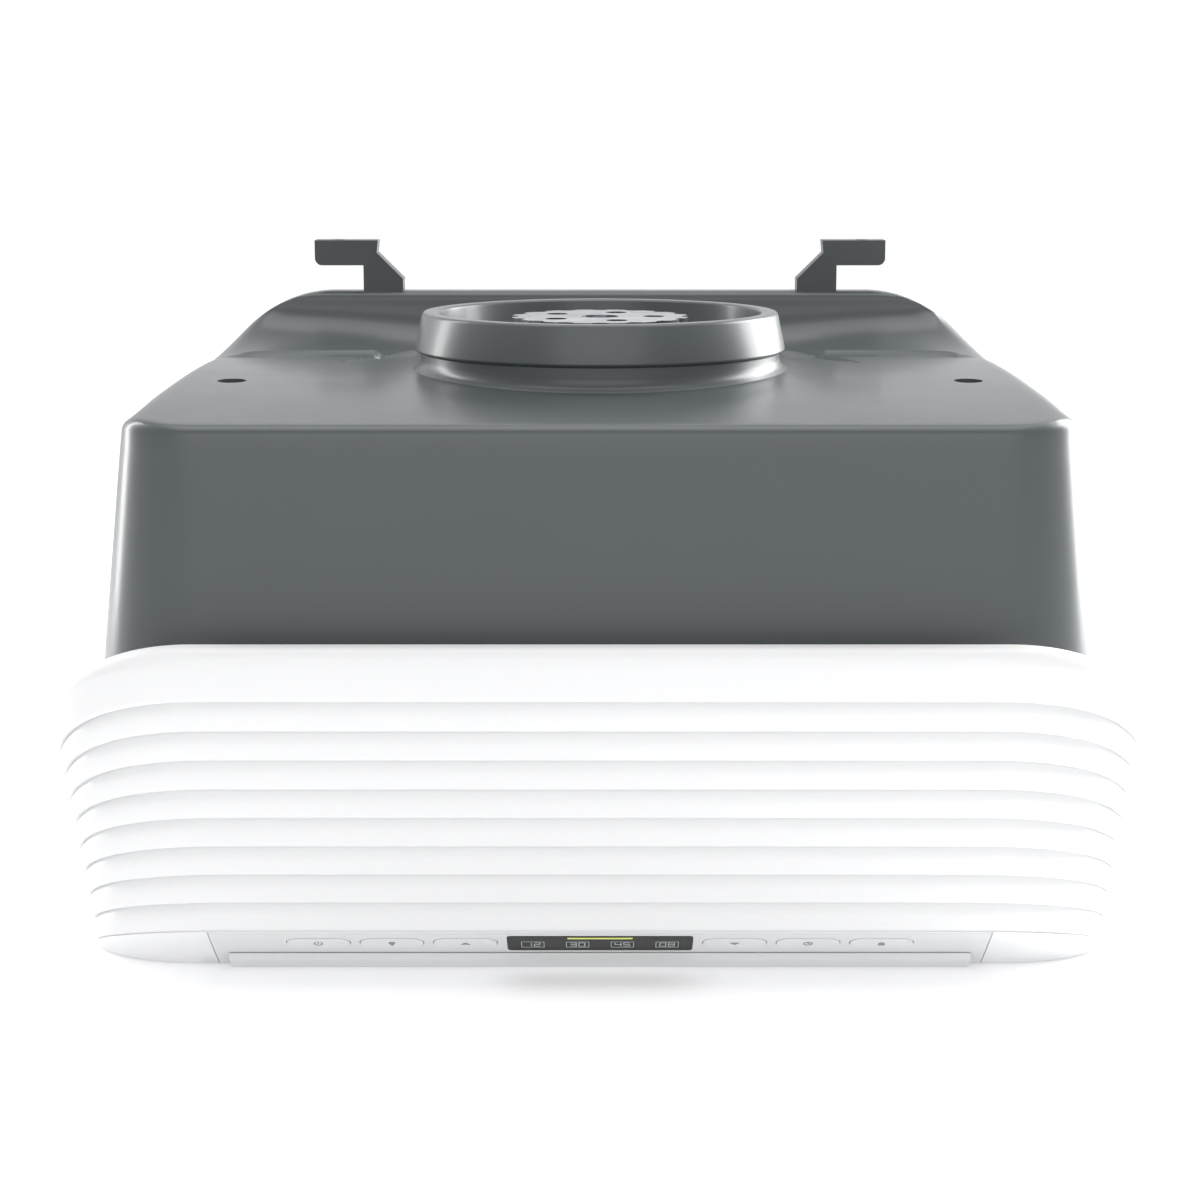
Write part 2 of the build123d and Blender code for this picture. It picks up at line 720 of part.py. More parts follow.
with BuildPart() as motor_end_bell:
    with Locations((motor_x, collar_y, motor_foot)):
        Cylinder(motor_radius, end_bell_thickness, align=(Align.CENTER, Align.CENTER, Align.MAX))
        Cylinder(motor_radius - 2 - seat_gap, 4, align=(Align.CENTER, Align.CENTER, Align.MIN))
        Cylinder(motor_shaft_radius + running_gap, 4 * motor_length, mode=Mode.SUBTRACT)
        with PolarLocations(19, 2):
            Box(9, 5, 3 * end_bell_thickness, mode=Mode.SUBTRACT)
export(motor_end_bell, "motor_end_bell")

with BuildPart() as motor_shaft:
    with Locations((motor_x, collar_y, motor_shaft_foot)):
        Cylinder(motor_shaft_radius, gear_floor + gear_thickness - motor_shaft_foot,
                 align=(Align.CENTER, Align.CENTER, Align.MIN))
export(motor_shaft, "motor_shaft")

with BuildPart() as armature:
    with BuildSketch(Plane.XY.offset(motor_foot + 16)):
        with Locations((motor_x, collar_y)):
            Circle(armature_radius)
            with PolarLocations(armature_radius, 10):
                Circle(3, mode=Mode.SUBTRACT)
            Circle(motor_shaft_radius + seat_gap, mode=Mode.SUBTRACT)
    extrude(amount=motor_length - 30)
export(armature, "armature")

with BuildPart() as encoder_disc:
    with BuildSketch(Plane.XY.offset(encoder_height)):
        with Locations((motor_x, collar_y)):
            Circle(encoder_radius)
            with PolarLocations(encoder_radius - 3, 18):
                SlotOverall(3.4, 1.4, mode=Mode.SUBTRACT)
            Circle(motor_shaft_radius + seat_gap, mode=Mode.SUBTRACT)
    extrude(amount=1.2)
export(encoder_disc, "encoder_disc")

with BuildPart() as encoder_sensor:
    sensor_x = motor_x - encoder_radius - 2
    with Locations((sensor_x, collar_y, encoder_height + 0.6)):
        Box(10, 8, 9)
    with Locations((sensor_x + 4, collar_y, encoder_height + 0.6)):
        Box(10, 10, 3.2, mode=Mode.SUBTRACT)
    with Locations((sensor_x, collar_y, motor_foot - end_bell_thickness)):
        Box(4, 8, motor_foot - end_bell_thickness - encoder_height - 5.0,
            align=(Align.CENTER, Align.CENTER, Align.MAX))
export(encoder_sensor, "encoder_sensor")

# ---- hangers

with BuildPart() as hanger_left:
    foot = head_height - hanger_foot
    flange_foot = hanger_top - hanger_flange
    with BuildSketch(Plane.XZ.offset(-hanger_y)) as hook:
        with BuildLine():
            Polyline((-hanger_x, foot), (-hanger_x, head_height + 5),
                     (-hanger_x - 10.8, flange_foot + 5.2), (-hanger_x - 10.3, hanger_top),
                     (-hanger_reach, hanger_top), (-hanger_reach, flange_foot),
                     (-hanger_x - hanger_post_width, flange_foot), (-hanger_x - hanger_post_width, foot),
                     close=True)
        make_face()
        fillet(hook.vertices().sort_by(Axis.X)[:2].sort_by(Axis.Y)[0], 3)
    extrude(amount=hanger_depth / 2, both=True)
    with Locations((-hanger_bolt_x, hanger_y, hanger_top)):
        Cylinder(hanger_bolt_radius, 3 * hanger_flange, mode=Mode.SUBTRACT)
export(hanger_left, "hanger_left")

with BuildPart() as hanger_right:
    add(mirror(hanger_left.part, about=Plane.YZ))
export(hanger_right, "hanger_right")

# ---- control panel, buttons and display

with BuildPart() as control_panel:
    with BuildSketch(bevel_plane):
        with Locations((0, panel_top_margin + part_gap)):
            Rectangle(2 * (panel_half_width - part_gap), bevel_length + 20, align=(Align.CENTER, Align.MIN))
        with Locations((0, display_row)):
            RectangleRounded(display_width + 2 * part_gap, display_height + 2 * part_gap, 1.5,
                             mode=Mode.SUBTRACT)
        with Locations(*[(x, button_row) for x in button_places]):
            SlotOverall(button_width + 2 * part_gap, button_height + 2 * part_gap, mode=Mode.SUBTRACT)
    extrude(amount=panel_thickness)
    with BuildSketch(bevel_plane.offset(panel_thickness)):
        with Locations((-panel_pin_x, button_row), (panel_pin_x, button_row)):
            Circle(panel_pin_radius)
    extrude(amount=board_setback - panel_thickness)
    split(bisect_by=Plane.XY, keep=Keep.TOP)
    with Locations((0, nose_front_y, 0)):
        Box(2 * (door_half_width + part_gap), head_depth, 2 * (door_thickness + part_gap),
            align=(Align.CENTER, Align.MIN, Align.CENTER), mode=Mode.SUBTRACT)
export(control_panel, "control_panel")

for name, x in zip(button_names, button_places):
    with BuildPart() as button:
        with BuildSketch(bevel_plane.offset(-button_proud)):
            with Locations((x, button_row)):
                SlotOverall(button_width, button_height)
        extrude(amount=button_proud + panel_thickness + part_gap)
        with BuildSketch(bevel_plane.offset(panel_thickness + part_gap)):
            with Locations((x, button_row)):
                SlotOverall(button_width + 2, button_height + 2)
        extrude(amount=button_flange)
        face = button.faces().sort_by(Axis(bevel_edge, bevel_plane.z_dir))[0]
        fillet(face.edges(), button_proud - 0.05)
    export(button, f"{name}_button")

with BuildPart() as display_window:
    with BuildSketch(bevel_plane):
        with Locations((0, display_row)):
            RectangleRounded(display_width, display_height, 1.2)
    extrude(amount=panel_thickness - 0.5)
export(display_window, "display_window")

with BuildPart() as display_module:
    with BuildSketch(bevel_plane.offset(panel_thickness + 0.1)):
        with Locations((0, display_row)):
            Rectangle(display_width + 5, display_height + 2)
    extrude(amount=board_setback - panel_thickness - 0.2)
export(display_module, "display_module")

with BuildPart() as button_board:
    with BuildSketch(bevel_plane.offset(board_setback)):
        with Locations((0, button_row)):
            Rectangle(button_board_length, button_board_width)
    extrude(amount=board_thickness)
export(button_board, "button_board")

with BuildPart() as button_switches:
    cap_back = panel_thickness + part_gap + button_flange
    with BuildSketch(bevel_plane.offset(board_setback)):
        with Locations(*[(x, button_row) for x in button_places]):
            Rectangle(switch_size, switch_size)
    extrude(amount=-switch_height)
    with BuildSketch(bevel_plane.offset(board_setback - switch_height)):
        with Locations(*[(x, button_row) for x in button_places]):
            Circle(switch_plunger_radius)
    extrude(amount=-(board_setback - switch_height - cap_back - button_travel - part_gap))
export(button_switches, "button_switches")

# ---- access door and its hinge pin

with BuildPart() as access_door:
    lip_inner = -part_gap
    slab_corner = door_thickness
    along_slab = (bevel_edge.Z - slab_corner) / sin(radians(bevel_slope))
    along_foot = (bevel_edge.Z - door_lip_proud * cos(radians(bevel_slope))) / sin(radians(bevel_slope))
    with BuildSketch(Plane.YZ) as section:
        with BuildLine():
            Polyline(bevel_point(door_lip_start, lip_inner),
                     bevel_point(door_lip_start + 1, -door_lip_proud),
                     bevel_point(along_foot, -door_lip_proud), (door_hinge_y, 0),
                     (door_hinge_y, door_thickness),
                     bevel_point(along_slab - 0.6, lip_inner), close=True)
        make_face()
        with Locations((door_hinge_y, door_hinge_height)):
            Circle(door_barrel_radius)
            Circle(door_pin_radius + seat_gap, mode=Mode.SUBTRACT)
    extrude(amount=door_half_width, both=True)
export(access_door, "access_door")

with BuildPart() as door_pin:
    with Locations(Plane.YZ * Location((door_hinge_y, door_hinge_height, 0))):
        Cylinder(door_pin_radius, 2 * (door_half_width + door_ear_width) - 4)
export(door_pin, "door_pin")

# ---- lamp: bracket, board and diodes behind the ribs

with BuildPart() as led_bracket:
    led_foot_x = led_bracket_half_width - led_foot_width / 2
    with BuildSketch(Plane.XZ.offset(-led_bracket_y)):
        with Locations((0, led_bracket_foot)):
            Rectangle(2 * led_bracket_half_width, led_bracket_top - led_bracket_foot,
                      align=(Align.CENTER, Align.MIN))
        with Locations((-led_foot_x, base_thickness), (led_foot_x, base_thickness)):
            Rectangle(led_foot_width, led_bracket_foot, align=(Align.CENTER, Align.MIN))
        with GridLocations(60, 0, 5, 1):
            with Locations((0, (led_bracket_top + led_bracket_foot) / 2)):
                SlotOverall(30, 6, rotation=90, mode=Mode.SUBTRACT)
    extrude(amount=-led_bracket_thickness)
    for side in (-1, 1):
        with Locations((side * led_foot_x, led_bracket_y, base_thickness)):
            Box(led_foot_width, led_foot_depth, led_bracket_thickness,
                align=(Align.CENTER, Align.MIN, Align.MIN))
export(led_bracket, "led_bracket")

led_board_front = led_bracket_y - 0.1 - board_thickness
led_middle = (led_bracket_top + led_bracket_foot) / 2

with BuildPart() as led_board:
    with Locations((0, led_board_front, led_middle)):
        Box(2 * led_board_half_width, board_thickness, led_board_height,
            align=(Align.CENTER, Align.MIN, Align.CENTER))
export(led_board, "led_board")

with BuildPart() as led_diodes:
    with Locations((0, led_board_front, led_middle)):
        with Locations(Plane.XZ):
            with GridLocations(4 * led_board_half_width / led_count, led_row_pitch, led_count // 2, 2):
                Box(led_size, led_size, led_thickness, align=(Align.CENTER, Align.CENTER, Align.MIN))
export(led_diodes, "led_diodes")

# ---- control board and what stands on it

board_foot = base_thickness + standoff_height
board_top = board_foot + board_thickness

with BuildPart() as board_standoffs:
    with Locations((control_board_x, control_board_y, base_thickness)):
        with GridLocations(control_board_length - 10, control_board_width - 10, 2, 2):
            Cylinder(standoff_radius, standoff_height, align=(Align.CENTER, Align.CENTER, Align.MIN))
export(board_standoffs, "board_standoffs")

with BuildPart() as control_board:
    with BuildSketch(Plane.XY.offset(board_foot)):
        with Locations((control_board_x, control_board_y)):
            RectangleRounded(control_board_length, control_board_width, 3)
    extrude(amount=board_thickness)
export(control_board, "control_board")

with BuildPart() as relays:
    with Locations((control_board_x - 30, control_board_y + 30, board_top)):
        with GridLocations(relay_pitch, 0, relay_count, 1):
            Box(relay_length, relay_size, relay_size, align=(Align.CENTER, Align.CENTER, Align.MIN))
    fillet(relays.edges().filter_by(Axis.Z), 1)
export(relays, "relays")

with BuildPart() as capacitors:
    with Locations((control_board_x + 42, control_board_y + 8, board_top)):
        with GridLocations(0, capacitor_pitch, 1, capacitor_count):
            Cylinder(capacitor_radius, capacitor_height, align=(Align.CENTER, Align.CENTER, Align.MIN))
    fillet(capacitors.faces().group_by(Axis.Z)[-1].edges(), 1.2)
export(capacitors, "capacitors")

with BuildPart() as terminal_block:
    with Locations((terminal_x, terminal_y, base_thickness)):
        Box(terminal_count * terminal_pitch + 4, terminal_depth, terminal_height,
            align=(Align.CENTER, Align.CENTER, Align.MIN))
        with GridLocations(terminal_pitch, 0, terminal_count, 1):
            # wire mouth in front, screw well on top
            with Locations((0, -terminal_depth / 2, 4)):
                Box(5, 8, 5, align=(Align.CENTER, Align.CENTER, Align.MIN), mode=Mode.SUBTRACT)
            with Locations((0, -2, terminal_height)):
                Cylinder(2.4, 6, mode=Mode.SUBTRACT)
export(terminal_block, "terminal_block")

with BuildPart() as transformer_core:
    with Locations((transformer_x, transformer_y, base_thickness)):
        Box(transformer_width - 8, transformer_depth, transformer_height,
            align=(Align.CENTER, Align.CENTER, Align.MIN))
    with BuildSketch(Plane.YZ.offset(transformer_x)):
        for side in (-1, 1):
            with Locations((transformer_y + side * transformer_depth / 4,
                            base_thickness + transformer_height / 2)):
                Rectangle(transformer_depth / 4 - 2, transformer_height - 16)
    extrude(amount=transformer_width, both=True, mode=Mode.SUBTRACT)
export(transformer_core, "transformer_core")

with BuildPart() as transformer_coil:
    with Locations((transformer_x, transformer_y, base_thickness + transformer_height / 2)):
        Box(transformer_width, transformer_depth * 0.75 - 2 - seat_gap * 4, transformer_height - 17)
        Box(transformer_width - 8 + seat_gap, transformer_depth / 4 + 2 + seat_gap * 4,
            transformer_height - 10, mode=Mode.SUBTRACT)
export(transformer_coil, "transformer_coil")

# ---- power inlet in the rear wall

with BuildPart() as power_inlet:
    with Locations((inlet_x, rear_y - 1.5, inlet_z)):
        Box(inlet_width - 2 * part_gap, 24, inlet_height - 2 * part_gap,
            align=(Align.CENTER, Align.MAX, Align.CENTER))
        Box(inlet_width - 6, 14, inlet_height - 6, align=(Align.CENTER, Align.MAX, Align.CENTER),
            mode=Mode.SUBTRACT)
    fillet(power_inlet.edges().filter_by(Axis.Y).group_by(Axis.Z)[0], 3)
    for x, z in ((-6, -2), (0, 2), (6, -2)):
        with Locations((inlet_x + x, rear_y - 14, inlet_z + z)):
            Box(2, 9, 4, align=(Align.CENTER, Align.CENTER, Align.CENTER))
export(power_inlet, "power_inlet")
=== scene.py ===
import json
from math import atan, cos, hypot, pi, radians, sin, sqrt, tan

import bmesh
import bpy
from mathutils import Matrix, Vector


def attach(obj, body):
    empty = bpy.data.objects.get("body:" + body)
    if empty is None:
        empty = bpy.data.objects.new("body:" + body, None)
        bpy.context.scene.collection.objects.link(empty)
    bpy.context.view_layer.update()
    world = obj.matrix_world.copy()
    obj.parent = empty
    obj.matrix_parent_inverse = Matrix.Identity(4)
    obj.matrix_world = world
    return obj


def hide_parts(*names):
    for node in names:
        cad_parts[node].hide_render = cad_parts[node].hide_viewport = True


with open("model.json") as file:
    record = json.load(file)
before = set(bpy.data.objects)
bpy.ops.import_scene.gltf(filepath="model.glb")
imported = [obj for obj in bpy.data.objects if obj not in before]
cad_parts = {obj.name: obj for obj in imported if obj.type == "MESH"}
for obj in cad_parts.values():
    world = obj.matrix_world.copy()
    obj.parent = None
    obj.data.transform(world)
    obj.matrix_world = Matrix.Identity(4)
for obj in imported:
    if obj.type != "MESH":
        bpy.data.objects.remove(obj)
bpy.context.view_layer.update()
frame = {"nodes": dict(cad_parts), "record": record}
mm = 0.001  # sizes below are in millimetres, the scene is in metres
print("frame loaded,", len(frame["nodes"]), "nodes")


# shared tools

def newObject(name, points, faces):
    mesh = bpy.data.meshes.new(name)
    mesh.from_pydata([Vector(p) * mm for p in points], [], faces)
    obj = bpy.data.objects.new(name, mesh)
    bpy.context.scene.collection.objects.link(obj)
    return obj


def faceOutward(obj):
    mesh = bmesh.new()
    mesh.from_mesh(obj.data)
    bmesh.ops.remove_doubles(mesh, verts=mesh.verts, dist=2e-6)
    bmesh.ops.recalc_face_normals(mesh, faces=mesh.faces)
    mesh.to_mesh(obj.data)
    mesh.free()


def applyAll(obj):
    bpy.context.view_layer.update()
    shaped = obj.evaluated_get(bpy.context.evaluated_depsgraph_get())
    mesh = bpy.data.meshes.new_from_object(shaped)
    obj.modifiers.clear()
    obj.data = mesh


def thicken(obj, wall):
    solid = obj.modifiers.new("wall", "SOLIDIFY")
    solid.thickness = wall * mm
    solid.offset = -1
    solid.use_even_offset = True
    applyAll(obj)


def cutAway(obj, cutter):
    cut = obj.modifiers.new("cut", "BOOLEAN")
    cut.operation = "DIFFERENCE"
    cut.solver = "EXACT"
    cut.object = cutter
    applyAll(obj)
    bpy.data.objects.remove(cutter)


def placePiece(obj, body, finish, sharp=40):
    obj.data.polygons.foreach_set("use_smooth", [True] * len(obj.data.polygons))
    obj.data.set_sharp_from_angle(angle=radians(sharp))
    obj.data.materials.clear()
    obj.data.materials.append(finish)
    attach(obj, body)
    return obj


def stripFaces(upper, lower, closed=True):
    # quads between two loops of vertex numbers
    count = len(upper) if closed else len(upper) - 1
    pairs = [(i, (i + 1) % len(upper)) for i in range(count)]
    return [(upper[i], upper[j], lower[j], lower[i]) for i, j in pairs]


def prisms(name, outlines, place, low, high):
    # flat outlines given a thickness, from low to high along the third direction
    points, faces = [], []
    for outline in outlines:
        first = len(points)
        count = len(outline)
        points += [place(u, v, low) for u, v in outline] + [place(u, v, high) for u, v in outline]
        bottom = list(range(first, first + count))
        top = [i + count for i in bottom]
        faces += stripFaces(top, bottom) + [tuple(reversed(top)), tuple(bottom)]
    obj = newObject(name, points, faces)
    faceOutward(obj)
    return obj


def lathe(name, profile, centre, steps, ground, lowHeight=20):
    # a closed (radius, height) profile turned about an upright axis; its low heights are above the ground
    points, loops = [], []
    for radius, height in profile:
        onGround = height < lowHeight
        loops.append(list(range(len(points), len(points) + steps)))
        for i in range(steps):
            turn = 2 * pi * i / steps
            x, y = centre[0] + radius * cos(turn), centre[1] + radius * sin(turn)
            points.append((x, y, ground(x, y) + height if onGround else height))
    faces = []
    for upper, lower in zip(loops, loops[1:] + loops[:1]):
        faces += stripFaces(upper, lower)
    obj = newObject(name, points, faces)
    faceOutward(obj)
    return obj


def arcPath(centre, radius, start, end, steps):
    turn = [radians(start + (end - start) * i / steps) for i in range(steps + 1)]
    return [(centre[0] + radius * cos(a), centre[1] + radius * sin(a)) for a in turn]


def bandPath(centre, radius, width, start, end, steps=20):
    # a bent stroke
    outer = arcPath(centre, radius + width / 2, start, end, steps)
    return outer + arcPath(centre, radius - width / 2, end, start, steps)


def bar(centre, width, height):
    u, v = centre
    return [(u - width / 2, v - height / 2), (u + width / 2, v - height / 2),
            (u + width / 2, v + height / 2), (u - width / 2, v + height / 2)]


def stadium(centre, width, height, steps=10):
    # a slot with round ends, taller than it is wide
    u, v = centre
    reach = (height - width) / 2
    upper = arcPath((u, v + reach), width / 2, 0, 180, steps)
    return upper + arcPath((u, v - reach), width / 2, 180, 360, steps)


def softMin(a, b, blend):
    overlap = max(blend - abs(a - b), 0) / blend if blend > 0 else 0
    return min(a, b) - overlap * overlap * blend / 4


def smoothStep(value, start, end):
    share = min(max((value - start) / (end - start), 0), 1)
    return share * share * (3 - 2 * share)


def mixed(a, b, share):
    return a + (b - a) * share


# finishes

def addNode(tree, kind, inputs=None, **settings):
    node = tree.nodes.new(kind)
    for key, value in settings.items():
        setattr(node, key, value)
    for key, value in (inputs or {}).items():
        node.inputs[key].default_value = value
    return node


def shade(colour, factor):
    return tuple(min(c * factor, 1) for c in colour) + (1,)


def linear(colour):
    return tuple(c / 12.92 if c <= 0.04045 else ((c + 0.055) / 1.055) ** 2.4 for c in colour)


# how far into a pattern its second colour reaches
markWindows = {"traces": (0.03, 0.07), "speckle": (0.05, 0.16), "layers": (0.15, 0.6), "winding": (0.15, 0.6)}


def makeFinish(name, look):
    material = bpy.data.materials.new(name)
    material.use_nodes = True
    tree = material.node_tree
    link = tree.links.new
    shader = tree.nodes["Principled BSDF"]
    colour = linear(look["colour"])
    place = addNode(tree, "ShaderNodeTexCoord")
    spread = addNode(tree, "ShaderNodeMapping", {"Scale": look.get("stretch", (1, 1, 1))})
    link(place.outputs["Object"], spread.inputs["Vector"])

    # slow drift of tone over the piece
    drift = addNode(tree, "ShaderNodeTexNoise",
                    {"Scale": look.get("driftScale", 14), "Detail": 6, "Roughness": 0.6})
    link(spread.outputs["Vector"], drift.inputs["Vector"])
    tone = addNode(tree, "ShaderNodeMix", data_type="RGBA")
    tone.inputs["A"].default_value = shade(colour, 1 - look["drift"])
    tone.inputs["B"].default_value = shade(colour, 1 + look["drift"])
    link(drift.outputs["Fac"], tone.inputs["Factor"])
    surface = tone.outputs["Result"]

    # fine grain of the surface, as height
    grain = addNode(tree, "ShaderNodeTexNoise",
                    {"Scale": look["grainScale"], "Detail": 4, "Roughness": 0.55})
    link(spread.outputs["Vector"], grain.inputs["Vector"])
    height = grain.outputs["Fac"]

    pattern = look.get("pattern")
    if pattern in ("layers", "winding"):
        bands = addNode(tree, "ShaderNodeTexWave",
                        {"Scale": look["bandScale"], "Distortion": look.get("bandWander", 0), "Detail": 2},
                        wave_type="BANDS", bands_direction="Z")
        link(place.outputs["Object"], bands.inputs["Vector"])
        height = bands.outputs["Fac"]
    if pattern:
        if pattern == "traces":
            mark = addNode(tree, "ShaderNodeTexVoronoi", {"Scale": look["bandScale"], "Randomness": 0.55},
                           distance="MANHATTAN", feature="DISTANCE_TO_EDGE")
            link(place.outputs["Object"], mark.inputs["Vector"])
            source = mark.outputs["Distance"]
        elif pattern == "speckle":
            mark = addNode(tree, "ShaderNodeTexVoronoi", {"Scale": look["bandScale"]})
            link(place.outputs["Object"], mark.inputs["Vector"])
            source = mark.outputs["Distance"]
        else:
            source = height
        window = markWindows[pattern]
        edge = addNode(tree, "ShaderNodeMapRange",
                       {"From Min": window[0], "From Max": window[1], "To Min": 1, "To Max": 0})
        link(source, edge.inputs["Value"])
        marked = addNode(tree, "ShaderNodeMix", data_type="RGBA")
        marked.inputs["B"].default_value = linear(look["markColour"]) + (1,)
        link(edge.outputs["Result"], marked.inputs["Factor"])
        link(surface, marked.inputs["A"])
        surface = marked.outputs["Result"]

    # the finish wears a little lighter along the edges
    if look.get("wear"):
        corner = addNode(tree, "ShaderNodeNewGeometry")
        rub = addNode(tree, "ShaderNodeMapRange",
                      {"From Min": 0.52, "From Max": 0.62, "To Min": 0, "To Max": look["wear"]})
        link(corner.outputs["Pointiness"], rub.inputs["Value"])
        worn = addNode(tree, "ShaderNodeMix", data_type="RGBA")
        worn.inputs["B"].default_value = shade(colour, 1.9)
        link(rub.outputs["Result"], worn.inputs["Factor"])
        link(surface, worn.inputs["A"])
        surface = worn.outputs["Result"]

    link(surface, shader.inputs["Base Color"])
    gloss = addNode(tree, "ShaderNodeMapRange",
                    {"From Min": 0.3, "From Max": 0.7,
                     "To Min": look["rough"][0], "To Max": look["rough"][1]})
    smear = addNode(tree, "ShaderNodeTexNoise", {"Scale": 45, "Detail": 5})
    link(spread.outputs["Vector"], smear.inputs["Vector"])
    link(smear.outputs["Fac"], gloss.inputs["Value"])
    link(gloss.outputs["Result"], shader.inputs["Roughness"])
    relief = addNode(tree, "ShaderNodeBump",
                     {"Strength": look.get("relief", 0.3), "Distance": look["grain"] * mm})
    link(height, relief.inputs["Height"])
    link(relief.outputs["Normal"], shader.inputs["Normal"])
    for socket, value in look.get("shader", {}).items():
        shader.inputs[socket].default_value = value
    return material


looks = {
    "housing": {"colour": (0.288, 0.308, 0.315), "drift": 0.012, "grain": 0.006, "grainScale": 1100,
                "relief": 0.12, "rough": (0.32, 0.35),
                "shader": {"Coat Weight": 0.12, "Coat Roughness": 0.14}},
    "lens": {"colour": (0.893, 0.896, 0.899), "drift": 0.008, "grain": 0.008, "grainScale": 1400,
             "rough": (0.3, 0.38), "shader": {"Subsurface Weight": 0.12, "Subsurface Scale": 0.004}},
    "panel": {"colour": (0.85, 0.853, 0.856), "drift": 0.01, "grain": 0.01, "grainScale": 2600,
              "rough": (0.32, 0.42)},
    "button": {"colour": (0.86, 0.863, 0.866), "drift": 0.01, "grain": 0.008, "grainScale": 3000,
               "rough": (0.26, 0.34)},
    "base": {"colour": (0.34, 0.36, 0.37), "drift": 0.06, "grain": 0.05, "grainScale": 900,
             "rough": (0.45, 0.6), "wear": 0.25},
    "display": {"colour": (0.03, 0.032, 0.036), "drift": 0.1, "grain": 0.002, "grainScale": 600,
                "rough": (0.2, 0.28), "shader": {"Specular IOR Level": 0.12}},
    "display_glow": {"colour": (0.06, 0.07, 0.06), "drift": 0.1, "grain": 0.004, "grainScale": 900,
                     "rough": (0.15, 0.25)},
    "board": {"colour": (0.06, 0.27, 0.13), "drift": 0.12, "grain": 0.03, "grainScale": 700,
              "rough": (0.25, 0.4), "pattern": "traces", "bandScale": 150, "markColour": (0.16, 0.42, 0.22)},
    "white_board": {"colour": (0.86, 0.87, 0.86), "drift": 0.03, "grain": 0.02, "grainScale": 900,
                    "rough": (0.3, 0.42), "pattern": "traces", "bandScale": 90,
                    "markColour": (0.74, 0.76, 0.74)},
    "black_plastic": {"colour": (0.07, 0.07, 0.075), "drift": 0.15, "grain": 0.03, "grainScale": 1800,
                      "rough": (0.42, 0.58)},
    "hanger": {"colour": (0.235, 0.25, 0.258), "drift": 0.06, "grain": 0.03, "grainScale": 1500,
               "rough": (0.38, 0.5), "wear": 0.3},
    "polished_steel": {"colour": (0.56, 0.57, 0.59), "drift": 0.1, "grain": 0.012, "grainScale": 260,
                       "rough": (0.16, 0.3), "stretch": (1, 1, 14), "shader": {"Metallic": 1.0}},
    "zinc_steel": {"colour": (0.66, 0.68, 0.7), "drift": 0.12, "driftScale": 60, "grain": 0.02,
                   "grainScale": 500, "rough": (0.28, 0.46), "pattern": "speckle", "bandScale": 90,
                   "markColour": (0.76, 0.78, 0.8), "shader": {"Metallic": 1.0}},
    "laminated_steel": {"colour": (0.42, 0.42, 0.43), "drift": 0.1, "grain": 0.12, "grainScale": 500,
                        "rough": (0.4, 0.55), "pattern": "layers", "bandScale": 320,
                        "markColour": (0.24, 0.24, 0.25), "shader": {"Metallic": 0.8}},
    "bronze": {"colour": (0.66, 0.47, 0.26), "drift": 0.12, "grain": 0.03, "grainScale": 1800,
               "rough": (0.35, 0.5), "shader": {"Metallic": 1.0}},
    "gear_nylon": {"colour": (0.87, 0.85, 0.77), "drift": 0.04, "grain": 0.02, "grainScale": 900,
                   "rough": (0.35, 0.48), "shader": {"Subsurface Weight": 0.2, "Subsurface Scale": 0.003}},
    "cast_alloy": {"colour": (0.6, 0.61, 0.62), "drift": 0.1, "grain": 0.12, "grainScale": 600,
                   "rough": (0.42, 0.6), "wear": 0.3, "shader": {"Metallic": 0.9}},
    "rubber": {"colour": (0.06, 0.06, 0.062), "drift": 0.2, "grain": 0.06, "grainScale": 1200,
               "rough": (0.7, 0.85)},
    "aluminium": {"colour": (0.77, 0.78, 0.79), "drift": 0.06, "grain": 0.01, "grainScale": 300,
                  "rough": (0.25, 0.38), "stretch": (1, 14, 14), "shader": {"Metallic": 1.0}},
    "diode": {"colour": (0.96, 0.87, 0.45), "drift": 0.05, "grain": 0.02, "grainScale": 1500,
              "rough": (0.2, 0.3),
              "shader": {"Emission Color": (1, 0.93, 0.75, 1), "Emission Strength": 0.25}},
    "capacitor": {"colour": (0.08, 0.09, 0.2), "drift": 0.1, "grain": 0.01, "grainScale": 400,
                  "rough": (0.2, 0.34), "shader": {"Coat Weight": 0.4}},
    "terminal": {"colour": (0.13, 0.4, 0.2), "drift": 0.06, "grain": 0.03, "grainScale": 1500,
                 "rough": (0.4, 0.52)},
    "coil": {"colour": (0.6, 0.34, 0.16), "drift": 0.12, "grain": 0.2, "grainScale": 500,
             "rough": (0.3, 0.45), "pattern": "winding", "bandScale": 190, "bandWander": 0.6,
             "markColour": (0.34, 0.17, 0.07)},
    "mark": {"colour": (0.5, 0.515, 0.52), "drift": 0.05, "grain": 0.004, "grainScale": 3000,
             "rough": (0.4, 0.5)},
    "glyph": {"colour": (0.7, 0.73, 0.72), "drift": 0.12, "grain": 0.002, "grainScale": 3000,
              "rough": (0.3, 0.4),
              "shader": {"Emission Color": (0.75, 0.8, 0.8, 1), "Emission Strength": 0.15}},
    "glowBar": {"colour": (0.72, 0.75, 0.3), "drift": 0.1, "grain": 0.002, "grainScale": 3000,
                "rough": (0.3, 0.4),
                "shader": {"Emission Color": (0.7, 0.76, 0.2, 1), "Emission Strength": 0.35}},
}
finishes = {name: makeFinish(name, look) for name, look in looks.items()}
print("finishes made,", len(finishes))

for part in frame["record"]["subparts"]:
    shown = frame["nodes"][part["node"]]
    shown.data.materials.clear()
    shown.data.materials.append(finishes[part["material_slot"]])


# the grey housing: a crowned roof that scoops up to the raised rear wall, over drafted sides

